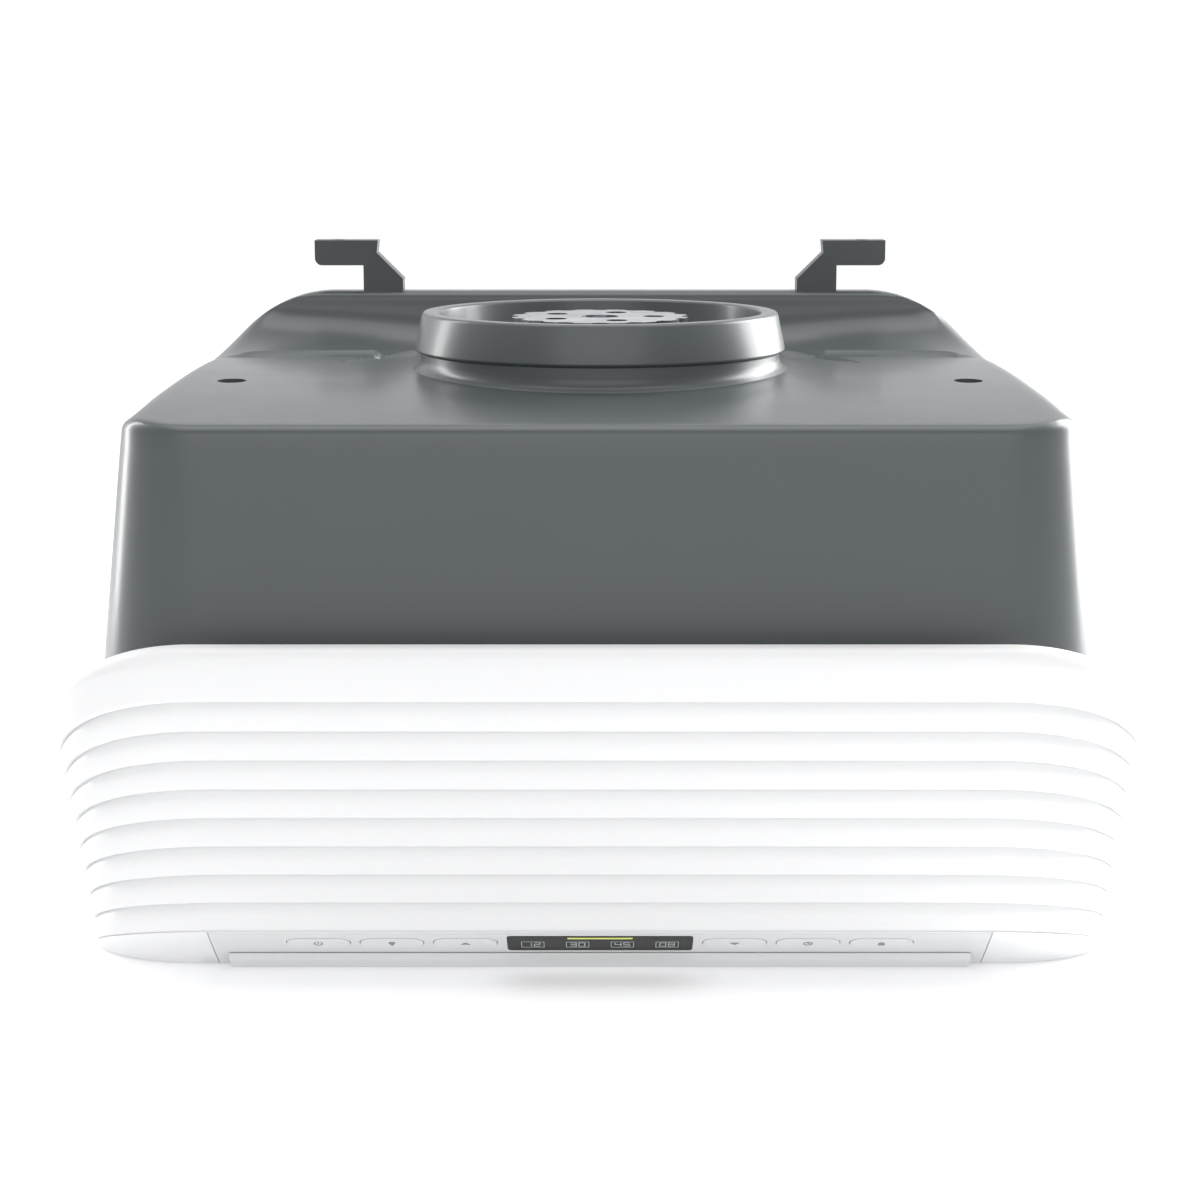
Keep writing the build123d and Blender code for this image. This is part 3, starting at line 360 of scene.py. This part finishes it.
shell = {
    "halfWidth": 161.2, "frontY": -111.0, "rearY": 135.0, "edgeHeight": 188.0,
    "sideDraft": 6.6, "frontDraft": 5.0,
    "frontCorner": (28.0, 52.0), "rearCorner": (11.5, 26.0),  # at the top edge and at the foot
    "crown": ((-115.0, 187.85), (0.0, 196.0), (98.0, 192.0)),
    "top": 217.0, "shoulderAt": 132.6, "shoulderSlope": 47.0, "shoulderRound": 50.0,
    "scoopFrom": (93.0, 72.0), "scoopSpan": (75.0, 143.0), "scoopFoot": 119.5, "lipRound": 4.0,
    "edgeRound": 4.5, "inset": 6.0, "wall": 2.6,
    "columns": 170, "cornerRows": 9, "sideRows": 84, "scoopRows": 22, "lipRows": 5, "rearRows": 4,
    "arcSteps": 7, "wallSteps": 16,
    # two ends in plan, then rise and half width, or width and depth
    "ridge": ((70.0, 95.0), (147.0, 70.5), 2.5, 3.4),
    "wedge": ((100.0, 30.0), (80.0, 90.0), 10.0, 4.2),
    "rim": (119.5, -135.0, 36.0, 9.0),  # nose rim height and y, its slope, and the skirt below it
}
collar = {
    "centre": (0.0, 12.0), "steps": 160, "clear": 62.0,
    "profile": [
        # the flare where it meets the roof, measured up from the roof
        (70.6, -0.5), (69.8, 0.2), (68.6, 0.9), (67.7, 1.9), (67.15, 3.0), (67.0, 4.2),
        # the skirt, the lip and the leaning outer wall
        (67.0, 202.0), (67.6, 202.6), (68.7, 202.9), (69.0, 203.5), (68.9, 204.3),
        (66.4, 215.9), (66.1, 216.5), (65.5, 216.9), (64.8, 217.0),
        # the rounded rim and the inner wall down to the well
        (61.3, 217.0), (60.6, 216.8), (60.15, 216.4), (60.0, 215.8),
        (60.0, 204.4), (59.6, 203.5), (58.8, 203.05), (57.8, 203.0),
        # the floor of the well round the shaft, and the underside
        (14.6, 203.0), (14.15, 202.8), (14.0, 202.4), (14.0, 200.0), (63.0, 200.0), (63.0, -3.0)],
}


def circleThrough(a, b, c):
    # centre and radius
    spread = 2 * (a[0] * (b[1] - c[1]) + b[0] * (c[1] - a[1]) + c[0] * (a[1] - b[1]))
    squares = [p[0] ** 2 + p[1] ** 2 for p in (a, b, c)]
    u = (squares[0] * (b[1] - c[1]) + squares[1] * (c[1] - a[1]) + squares[2] * (a[1] - b[1])) / spread
    v = (squares[0] * (c[0] - b[0]) + squares[1] * (a[0] - c[0]) + squares[2] * (b[0] - a[0])) / spread
    return u, v, hypot(a[0] - u, a[1] - v)


crownCircle = circleThrough(*shell["crown"])
shoulderTangent = shell["shoulderRound"] * tan(radians(shell["shoulderSlope"] / 2))
shoulderFlat = shell["shoulderAt"] - shoulderTangent
shoulderEnd = shell["shoulderAt"] + shoulderTangent * cos(radians(shell["shoulderSlope"]))


def crownHeight(y):
    return crownCircle[1] + sqrt(crownCircle[2] ** 2 - (y - crownCircle[0]) ** 2)


def shoulderHeight(x):
    x = abs(x)
    if x < shoulderFlat:
        return shell["top"] + (shoulderFlat - x) * 0.3
    if x < shoulderEnd:
        radius = shell["shoulderRound"]
        return shell["top"] - radius + sqrt(radius ** 2 - (x - shoulderFlat) ** 2)
    return shell["top"] - (x - shell["shoulderAt"]) * tan(radians(shell["shoulderSlope"]))


def scoopStart(x):
    near, far = shell["scoopFrom"]
    start, end = shell["scoopSpan"]
    return mixed(near, far, min(max((abs(x) - start) / (end - start), 0), 1))


def alongLine(x, y, start, end):
    # share of the way along a line, and the distance from it
    run = (end[0] - start[0], end[1] - start[1])
    length = hypot(*run)
    share = ((x - start[0]) * run[0] + (y - start[1]) * run[1]) / length ** 2
    away = abs((x - start[0]) * run[1] - (y - start[1]) * run[0]) / length
    return share, away


def roofDetail(x, y):
    # the crisp ridge at the foot of the scoop, and the wedge beside it
    start, end, rise, width = shell["ridge"]
    share, away = alongLine(abs(x), y, start, end)
    fade = smoothStep(share, -0.12, 0.1) * (1 - smoothStep(share, 0.85, 1.1))
    detail = rise * fade * max(1 - (away / width) ** 2, 0) ** 2
    start, end, width, depth = shell["wedge"]
    share, away = alongLine(abs(x), y, start, end)
    half = width * min(max(share, 0), 1)
    if 0 < share < 1.1:
        across = 1 - smoothStep(away, half * 0.55, half + 0.8)
        detail -= depth * across * smoothStep(share, 0, 0.3) * (1 - smoothStep(share, 0.85, 1.08))
    return detail


def roofHeight(x, y):
    start = scoopStart(x)
    foot, top, lip = shell["scoopFoot"], shell["top"], shell["lipRound"]
    if y <= start:
        height = crownHeight(y)
    elif y <= foot:
        share = (y - start) / (foot - start)
        base = crownHeight(start)
        height = base + (top - lip - base) * (1 - sqrt(max(1 - share * share, 0)))
    elif y < foot + lip:
        height = top - lip + sqrt(lip ** 2 - (foot + lip - y) ** 2)
    else:
        height = top
    return softMin(height, shoulderHeight(x), min(5, max(top - height, 0)))


def bodyOutline(kind, share, height, inset=0.0):
    # a point of the outside in plan at a height, and the way out from it
    low = (shell["edgeHeight"] - height) / shell["edgeHeight"]
    half = shell["halfWidth"] + (shell["edgeHeight"] - height) * tan(radians(shell["sideDraft"])) - inset
    front = shell["frontY"] - (shell["edgeHeight"] - height) * tan(radians(shell["frontDraft"])) + inset
    rear = shell["rearY"] - inset
    nose = mixed(*shell["frontCorner"], low) - inset
    heel = mixed(*shell["rearCorner"], low) - inset
    if kind == "front":
        return (half - nose) * share, front, (0, -1)
    if kind == "rear":
        return (half - heel) * share, rear, (0, 1)
    if kind == "frontCorner":
        turn = share * pi / 2
        return half - nose + nose * sin(turn), front + nose - nose * cos(turn), (sin(turn), -cos(turn))
    if kind == "rearCorner":
        turn = share * pi / 2
        return half - heel + heel * cos(turn), rear - heel + heel * sin(turn), (cos(turn), sin(turn))
    return half, mixed(front + nose, rear - heel, share), (1, 0)


def roofRows():
    # each row of the roof: where it meets the side outline, and how far along the crown or the scoop it is
    inset, top = shell["inset"], shell["edgeHeight"]
    sideFrom = bodyOutline("side", 0, top, inset)[1]
    sideTo = bodyOutline("side", 1, top, inset)[1]
    begin = shell["frontY"] + inset
    edgeScoop = shell["scoopFrom"][1]
    rows = []
    for i in range(shell["cornerRows"]):
        rows.append(("frontCorner", i / shell["cornerRows"], "crown", None))
    for i in range(shell["sideRows"]):
        y = mixed(sideFrom, edgeScoop, i / shell["sideRows"])
        rows.append(("side", (y - sideFrom) / (sideTo - sideFrom), "crown", None))
    for i in range(shell["scoopRows"] + 1):
        turn = i / shell["scoopRows"] * pi / 2
        y = mixed(edgeScoop, shell["scoopFoot"], sin(turn))
        rows.append(("side", (y - sideFrom) / (sideTo - sideFrom), "scoop", sin(turn)))
    for i in range(1, shell["lipRows"] + 1):
        turn = i / shell["lipRows"] * pi / 2
        y = shell["scoopFoot"] + shell["lipRound"] * (1 - cos(turn))
        rows.append(("side", (y - sideFrom) / (sideTo - sideFrom), "flat", y))
    for i in range(1, shell["rearRows"] + 1):
        rows.append(("rearCorner", i / shell["rearRows"], "flat", None))
    return rows, begin, edgeScoop


def buildHousing():
    rows, begin, edgeScoop = roofRows()
    columns = shell["columns"]
    points, grid = [], []
    for kind, share, zone, value in rows:
        edgeX, edgeY, _ = bodyOutline(kind, share, shell["edgeHeight"], shell["inset"])
        line = []
        for column in range(columns + 1):
            x = edgeX * (2 * column / columns - 1)
            if zone == "crown":
                y = mixed(begin, scoopStart(x), (edgeY - begin) / (edgeScoop - begin))
            elif zone == "scoop":
                y = mixed(scoopStart(x), shell["scoopFoot"], value)
            else:
                y = edgeY
            line.append(len(points))
            points.append((x, y, roofHeight(x, y) + roofDetail(x, y)))
        grid.append(line)
    faces = []
    for near, far in zip(grid, grid[1:]):
        faces += stripFaces(near, far, closed=False)
    middle = collar["centre"]
    hidden = collar["clear"]
    faces = [f for f in faces
             if hypot(points[f[0]][0] - middle[0], points[f[0]][1] - middle[1]) > hidden]

    # the border of the roof in order, with its place on the outline
    border = [(grid[0][c], "front", 2 * c / columns - 1, 1) for c in range(columns + 1)]
    border += [(grid[r][columns], rows[r][0], rows[r][1], 1) for r in range(1, len(rows))]
    border += [(grid[-1][c], "rear", 2 * c / columns - 1, 1) for c in range(columns - 1, -1, -1)]
    border += [(grid[r][0], rows[r][0], rows[r][1], -1) for r in range(len(rows) - 2, 0, -1)]
    loops = [[b[0] for b in border]] + [[] for _ in range(shell["arcSteps"] + 1 + shell["wallSteps"])]
    rimHeight, rimY, rimSlope, skirt = shell["rim"]
    rimFall = tan(radians(rimSlope))
    skirtDrop = skirt / cos(radians(rimSlope))
    lowestFoot = 0.5
    for vertex, kind, share, side in border:
        x, y, out = bodyOutline(kind, share, shell["edgeHeight"])
        edge = roofHeight(x, y)
        inner = roofHeight(x - out[0] * shell["inset"], y - out[1] * shell["inset"])
        slope = (inner - edge) / shell["inset"]
        tilt = atan(slope)
        draft = radians(abs(out[0]) * shell["sideDraft"] + max(-out[1], 0) * shell["frontDraft"])
        radius = shell["edgeRound"]
        across = radius * (cos(tilt) - sin(draft)) / cos(tilt + draft)
        down = -radius * (cos(draft) - sin(tilt)) / cos(tilt + draft)
        for step in range(shell["arcSteps"] + 1):
            turn = mixed(tilt, pi / 2 - draft, step / shell["arcSteps"])
            inward = across - radius * sin(turn)
            height = edge + down + radius * cos(turn)
            loops[1 + step].append(len(points))
            points.append((side * (x - out[0] * inward), y - out[1] * inward, height))
        top = height
        foot = 0.0
        for _ in range(3):  # the foot follows the nose rim down, and the outline leans with it
            footY = bodyOutline(kind, share, foot)[1]
            foot = max(rimHeight - (footY - rimY) * rimFall - skirtDrop, lowestFoot)
        for step in range(1, shell["wallSteps"] + 1):
            height = mixed(top, foot, step / shell["wallSteps"])
            x, y, _ = bodyOutline(kind, share, height)
            loops[1 + shell["arcSteps"] + step].append(len(points))
            points.append((side * x, y, height))
    for upper, lower in zip(loops, loops[1:]):
        faces += stripFaces(upper, lower)
    housing = newObject("housingShell", points, faces)
    faceOutward(housing)
    return housing


vents = {"z": 87.0, "pitch": 13.0, "count": 12, "rowPitch": 48.0, "width": 4.2, "height": 38.0}
socketHole = {"centre": (-110.0, 40.0), "size": (28.0, 20.0)}
fixing = {"x": 132.0, "y": -30.0, "radius": 5.2}

housing = buildHousing()
thicken(housing, shell["wall"])
slots = [stadium(((i - (vents["count"] - 1) / 2) * vents["pitch"], vents["z"] + row * vents["rowPitch"] / 2),
                 vents["width"], vents["height"])
         for i in range(vents["count"]) for row in (-1, 1)]
slots.append(bar(socketHole["centre"], *socketHole["size"]))
cutAway(housing, prisms("ventCutter", slots, lambda u, v, w: (u, w, v), 120, 150))
holes = [arcPath((side * fixing["x"], fixing["y"]), fixing["radius"], 0, 350, 35) for side in (-1, 1)]
cutAway(housing, prisms("holeCutter", holes, lambda u, v, w: (u, v, w), 150, 230))
placePiece(housing, "head", finishes["housing"], 32)
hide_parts("top_housing")
print("housing built,", len(housing.data.polygons), "faces")

ring = lathe("collarRing", collar["profile"], collar["centre"], collar["steps"], roofHeight)
placePiece(ring, "head", finishes["housing"], 32)


# the white nose: bands that overlap like shingles, from the rim down to the control bevel

nose = {
    "frontY": -135.0, "rimHeight": 119.5, "firstBand": 18.1, "pitch": 10.17, "bands": 8,
    "backStep": 1.43, "rimSlope": 36.0, "slopeStep": 1.57,
    "halfWidth": 187.6, "firstSide": 1.9, "sideStep": 0.886, "corner": 54.0,
    "bevelSlope": 38.0, "bevelLength": 33.2, "footHalfWidth": 172.0, "footCorner": 34.0,
    "ledgeFront": 22.5, "ledgeCorner": 44.0, "rimRound": 6.0,
    "overlap": 1.7, "bulge": 0.5, "wall": 2.4, "lipTuck": 0.35,
    "frontSteps": 30, "cornerSteps": 26, "sideSteps": 34, "rimSteps": 5,
    "bandShape": [0.0, 0.06, 0.15, 0.28, 0.45, 0.62, 0.78, 0.9, 0.96, 1.0], "firstShare": 0.45,
    "bevelShape": [0.015, 0.04, 0.3, 0.65, 1.0, 1.12], "belowFloor": 14,
}


def lineFrame(line):
    # front point, slope, half width and corner of a band's line; line 0 is the rim
    lower = max(line - 1, 0)
    first = min(line, 1)
    slope = radians(nose["rimSlope"] - first - lower * nose["slopeStep"])
    height = nose["rimHeight"] - first * nose["firstBand"] - lower * nose["pitch"]
    front = nose["frontY"] + lower * nose["backStep"]
    half = nose["halfWidth"] - first * nose["firstSide"] - lower * nose["sideStep"]
    return front, height, slope, half, nose["corner"]


def footFrame():
    front, height, slope, _, _ = lineFrame(nose["bands"] + 1)
    bevel = radians(nose["bevelSlope"])
    return (front + nose["bevelLength"] * cos(bevel), height - nose["bevelLength"] * sin(bevel), slope,
            nose["footHalfWidth"], nose["footCorner"])


def halfPath(place, outward=0.0, ledge=False):
    # right half of a line, from the middle of the front to behind the floor, pushed outward
    front, height, slope, half, corner = place
    start = nose["ledgeFront"] if ledge else 0.0

    def widthAt(back):
        if not ledge:
            return half
        level = height - back * sin(slope)
        draft = tan(radians(shell["sideDraft"]))
        return shell["halfWidth"] + (shell["edgeHeight"] - level) * draft - 1.5

    def spot(x, back, out):
        x += out[0] * outward
        y = front + back * cos(slope) + out[1] * outward
        return Vector((x, y, height - back * sin(slope)))

    path = []
    turnWidth = widthAt(start + corner)
    for i in range(nose["frontSteps"]):
        path.append(spot((turnWidth - corner) * i / nose["frontSteps"], start, (0, -1)))
    for i in range(nose["cornerSteps"]):
        turn = i / nose["cornerSteps"] * pi / 2
        path.append(spot(turnWidth - corner + corner * sin(turn), start + corner - corner * cos(turn),
                         (sin(turn), -cos(turn))))
    end = (height + nose["belowFloor"]) / sin(slope)
    for i in range(nose["sideSteps"] + 1):
        back = mixed(start + corner, end, i / nose["sideSteps"])
        path.append(spot(widthAt(back), back, (1, 0)))
    return path


def pathBetween(upper, lower, share):
    return [a.lerp(b, share) for a, b in zip(upper, lower)]


def buildNose():
    paths = []
    rim = lineFrame(0)
    ledgeFrame = (rim[0], rim[1], rim[2], rim[3], nose["ledgeCorner"])
    inner = halfPath(ledgeFrame, ledge=True)
    rounding = nose["rimRound"]
    paths.append(inner)
    paths.append(pathBetween(inner, halfPath(rim, -rounding), 0.5))
    for step in range(nose["rimSteps"] + 1):  # the rounded rim
        turn = step / nose["rimSteps"] * pi / 2
        edge = halfPath(rim, -rounding * (1 - sin(turn)))
        fall = rounding * (1 - cos(turn))
        paths.append([p - Vector((0, 0, fall)) for p in edge])
    for band in range(nose["bands"] + 1):
        first = band == 0
        for share in nose["bandShape"]:
            if first and share < nose["firstShare"]:
                continue
            hollow = 0.0 if first else nose["overlap"] * (1 - min(share / 0.5, 1)) ** 2
            swell = nose["bulge"] * 4 * share * (1 - share) - (nose["lipTuck"] if share == 1.0 else 0.0)
            out = swell - hollow - nose["bulge"]
            upper = halfPath(lineFrame(band), out)
            lower = halfPath(lineFrame(band + 1), out)
            paths.append(pathBetween(upper, lower, share))
    lowest = lineFrame(nose["bands"] + 1)
    for share in nose["bevelShape"]:
        paths.append(pathBetween(halfPath(lowest), halfPath(footFrame()), share))

    # the plain inside, from the foot back up to the ledge
    wall = nose["wall"]
    inside = -wall / sin(radians(nose["bevelSlope"]))
    paths.append(pathBetween(halfPath(lowest, inside), halfPath(footFrame(), inside), nose["bevelShape"][-1]))
    for line in range(nose["bands"] + 1, 0, -1):
        behind = inside if line > nose["bands"] else 0
        paths.append(halfPath(lineFrame(line), min(-wall - nose["overlap"], behind)))
    paths.append([p - Vector((0, 0, rounding)) for p in halfPath(rim, -rounding)])
    paths.append([p - Vector((0, 0, wall)) for p in inner])

    points, loops = [], []
    for path in paths:
        whole = [Vector((-p.x, p.y, p.z)) for p in reversed(path[1:])] + path
        loops.append(list(range(len(points), len(points) + len(whole))))
        points += whole
    faces = []
    for upper, lower in zip(loops, loops[1:] + loops[:1]):
        faces += stripFaces(upper, lower, closed=False)
    made = newObject("ribbedNose", points, faces)
    faceOutward(made)
    return made


floorGap = 0.05


def trimAtFloor(obj):
    mesh = bmesh.new()
    mesh.from_mesh(obj.data)
    everything = list(mesh.verts) + list(mesh.edges) + list(mesh.faces)
    cut = bmesh.ops.bisect_plane(mesh, geom=everything, plane_co=(0, 0, floorGap * mm),
                                 plane_no=(0, 0, -1), clear_outer=True)
    edges = [e for e in cut["geom_cut"] if isinstance(e, bmesh.types.BMEdge)]
    bmesh.ops.edgenet_fill(mesh, edges=edges)
    bmesh.ops.recalc_face_normals(mesh, faces=mesh.faces)
    mesh.to_mesh(obj.data)
    mesh.free()


bevelEdge = lineFrame(nose["bands"] + 1)
bevelTurn = radians(nose["bevelSlope"])


def onBevel(u, down, proud):
    # across the bevel, down it from its top edge, and out of it
    return (u, bevelEdge[0] + down * cos(bevelTurn) - proud * sin(bevelTurn),
            bevelEdge[1] - down * sin(bevelTurn) - proud * cos(bevelTurn))


panelSeat = {"halfWidth": 132.0, "from": 1.5, "to": 46.0, "depth": 12, "proud": 6}

ribbed = buildNose()
trimAtFloor(ribbed)
seat = [(-panelSeat["halfWidth"], panelSeat["from"]), (panelSeat["halfWidth"], panelSeat["from"]),
        (panelSeat["halfWidth"], panelSeat["to"]), (-panelSeat["halfWidth"], panelSeat["to"])]
cutAway(ribbed, prisms("seatCutter", [seat], onBevel, -panelSeat["depth"], panelSeat["proud"]))
placePiece(ribbed, "head", finishes["lens"], 38)
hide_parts("lens_cover")
print("nose built,", len(ribbed.data.polygons), "faces")


# symbols on the buttons

symbols = {
    "row": 11.0, "proud": 0.4, "thick": 0.12, "sunk": 0.05, "stroke": 0.42,
    "places": {"power": -95.4, "lamp": -70.5, "up": -45.6, "down": 45.6, "timer": 70.5, "lock": 95.4},
}
stroke = symbols["stroke"]
drawings = {
    "power": [bandPath((0, 0), 1.4, stroke, 125, 415), bar((0, 1.2), stroke, 1.7)],
    "lamp": [arcPath((0, 0.5), 1.15, -55, 235, 24), bar((0, -0.95), 1.1, 0.35), bar((0, -1.5), 0.8, 0.3)],
    "up": [[(-1.7, -0.9), (1.7, -0.9), (0, 1.1)]],
    "down": [[(-1.7, 0.9), (0, -1.1), (1.7, 0.9)]],
    "timer": [bandPath((0, 0), 1.4, stroke, 0, 180), bandPath((0, 0), 1.4, stroke, 180, 360),
              bar((0, 0.45), 0.3, 0.95), bar((0.35, 0), 0.8, 0.3)],
    "lock": [bar((0, -0.7), 2.3, 1.7), bandPath((0, 0.3), 0.75, 0.36, 0, 180)],
}
for name, outlines in drawings.items():
    middle = symbols["places"][name]
    low, high = symbols["proud"] - symbols["sunk"], symbols["proud"] + symbols["thick"]
    symbol = prisms(name + "Symbol", outlines,
                    lambda u, v, w: onBevel(middle + u, symbols["row"] - v, w), low, high)
    placePiece(symbol, name + "_button_cap", finishes["mark"])
print("button symbols drawn,", len(drawings))


# what the display shows: four framed pairs of digits and a bar

display = {"row": 11.8, "pitch": 15.2, "digit": (2.0, 3.4), "gap": 2.9, "frame": (7.6, 5.4), "line": 0.28,
           "numbers": ("12", "30", "45", "08"), "pairsAt": -1.2, "jointGap": 0.3,
           "barAt": 4.9, "bar": (22.0, 1.3), "sunk": 0.05, "proud": 0.06}
segmentsOf = {"0": "abcdef", "1": "bc", "2": "abged", "3": "abgcd", "4": "fgbc", "5": "afgcd",
              "6": "afgedc", "7": "abc", "8": "abcdefg", "9": "abcdfg"}


def digitBars(number, centre):
    width, height = display["digit"]
    line = display["line"]
    tall = height / 2 - display["jointGap"]
    u, v = centre
    bars = {"a": ((u, v + height / 2), width, line), "g": ((u, v), width, line),
            "d": ((u, v - height / 2), width, line),
            "f": ((u - width / 2, v + height / 4), line, tall),
            "b": ((u + width / 2, v + height / 4), line, tall),
            "e": ((u - width / 2, v - height / 4), line, tall),
            "c": ((u + width / 2, v - height / 4), line, tall)}
    return [bar(*bars[s]) for s in segmentsOf[number]]


def frameBars(centre):
    width, height = display["frame"]
    line = display["line"] * 0.6
    u, v = centre
    return [bar((u, v + height / 2), width, line), bar((u, v - height / 2), width, line),
            bar((u - width / 2, v), line, height), bar((u + width / 2, v), line, height)]


glyphs = []
for i, pair in enumerate(display["numbers"]):
    middle = (i - (len(display["numbers"]) - 1) / 2) * display["pitch"]
    glyphs += frameBars((middle, display["pairsAt"]))
    for j, number in enumerate(pair):
        glyphs += digitBars(number, (middle + (j - 0.5) * display["gap"], display["pairsAt"]))


def onDisplay(u, v, w):
    return onBevel(u, display["row"] - v, w)


digits = prisms("displayDigits", glyphs, onDisplay, -display["sunk"], display["proud"])
placePiece(digits, "head", finishes["glyph"])
glowing = bar((0, display["barAt"]), *display["bar"])
glow = prisms("displayBar", [glowing], onDisplay, -display["sunk"], display["proud"])
placePiece(glow, "head", finishes["glowBar"])
print("display drawn,", len(glyphs), "strokes")


# soft edges on sheet and moulded parts that stay as they are

softEdges = {"hanger_left": 0.9, "hanger_right": 0.9, "base_pan": 0.3, "chassis_plate": 0.4,
             "gearbox_cover": 0.6, "terminal_block": 0.4, "relays": 0.5}
for name, width in softEdges.items():
    edge = frame["nodes"][name].modifiers.new("edge", "BEVEL")
    edge.width = width * mm
    edge.segments = 3
    edge.limit_method = "ANGLE"
    edge.angle_limit = radians(50)


# floor, backdrop, light and camera

studio = {
    # in metres
    "floorDepth": 6.0, "floorFront": -3.0, "halfWidth": 5.0, "wallHeight": 4.0, "bend": 1.0, "bendSteps": 16,
    "floorDrop": 0.0003, "world": 0.6,
    "paper": {"colour": (0.97, 0.97, 0.975), "drift": 0.004, "driftScale": 2, "grain": 0.02,
              "grainScale": 300, "rough": (0.85, 0.95),
              "shader": {"Emission Color": (1, 1, 1, 1), "Emission Strength": 0.24}},
    # place, target, size and power
    "lights": {"overhead": ((0, 0.1, 1.7), (0, 0, 0.1), (1.6, 1.2), 13),
               "rightStrip": ((0.95, 0.6, 0.35), (0.1, 0, 0.12), (0.8, 1.3), 36),
               "leftStrip": ((-1.0, 0.5, 0.35), (-0.1, 0, 0.12), (0.2, 1.3), 9),
               "frontFill": ((0, -2.2, 1.1), (0, 0, 0.1), (2.4, 1.6), 13)},
    "camera": {"place": (0, -0.925, 0.2878), "tilt": 79.08, "lens": 75, "sensor": 36},
}


def buildBackdrop():
    rear = studio["floorFront"] + studio["floorDepth"]
    line = [(studio["floorFront"], 0.0), (rear - studio["bend"], 0.0)]
    for i in range(1, studio["bendSteps"] + 1):
        turn = i / studio["bendSteps"] * pi / 2
        line.append((rear - studio["bend"] + studio["bend"] * sin(turn), studio["bend"] * (1 - cos(turn))))
    line.append((rear, studio["wallHeight"]))
    points = [(side * studio["halfWidth"] / mm, y / mm, (z - studio["floorDrop"]) / mm)
              for y, z in line for side in (-1, 1)]
    faces = [(2 * i, 2 * i + 1, 2 * i + 3, 2 * i + 2) for i in range(len(line) - 1)]
    backdrop = newObject("backdrop", points, faces)
    backdrop.data.polygons.foreach_set("use_smooth", [True] * len(faces))
    backdrop.data.materials.append(makeFinish("paper", studio["paper"]))


def softLight(name, place, target, size, power):
    data = bpy.data.lights.new(name, "AREA")
    data.shape = "RECTANGLE"
    data.size, data.size_y = size
    data.energy = power
    lamp = bpy.data.objects.new(name, data)
    lamp.location = place
    lamp.rotation_mode = "QUATERNION"
    lamp.rotation_quaternion = (Vector(place) - Vector(target)).to_track_quat("Z", "Y")
    bpy.context.scene.collection.objects.link(lamp)


buildBackdrop()
for name, settings in studio["lights"].items():
    softLight(name, *settings)
world = bpy.data.worlds.new("studio")
world.use_nodes = True
world.node_tree.nodes["Background"].inputs["Color"].default_value = (1, 1, 1, 1)
world.node_tree.nodes["Background"].inputs["Strength"].default_value = studio["world"]
bpy.context.scene.world = world
bpy.context.scene.view_settings.view_transform = "Standard"

lens = bpy.data.cameras.new("camera")
lens.lens = studio["camera"]["lens"]
lens.sensor_width = studio["camera"]["sensor"]
lens.clip_start = 0.01
camera = bpy.data.objects.new("camera", lens)
camera.location = studio["camera"]["place"]
camera.rotation_euler = (radians(studio["camera"]["tilt"]), 0, 0)
bpy.context.scene.collection.objects.link(camera)
bpy.context.scene.camera = camera
print("studio set")
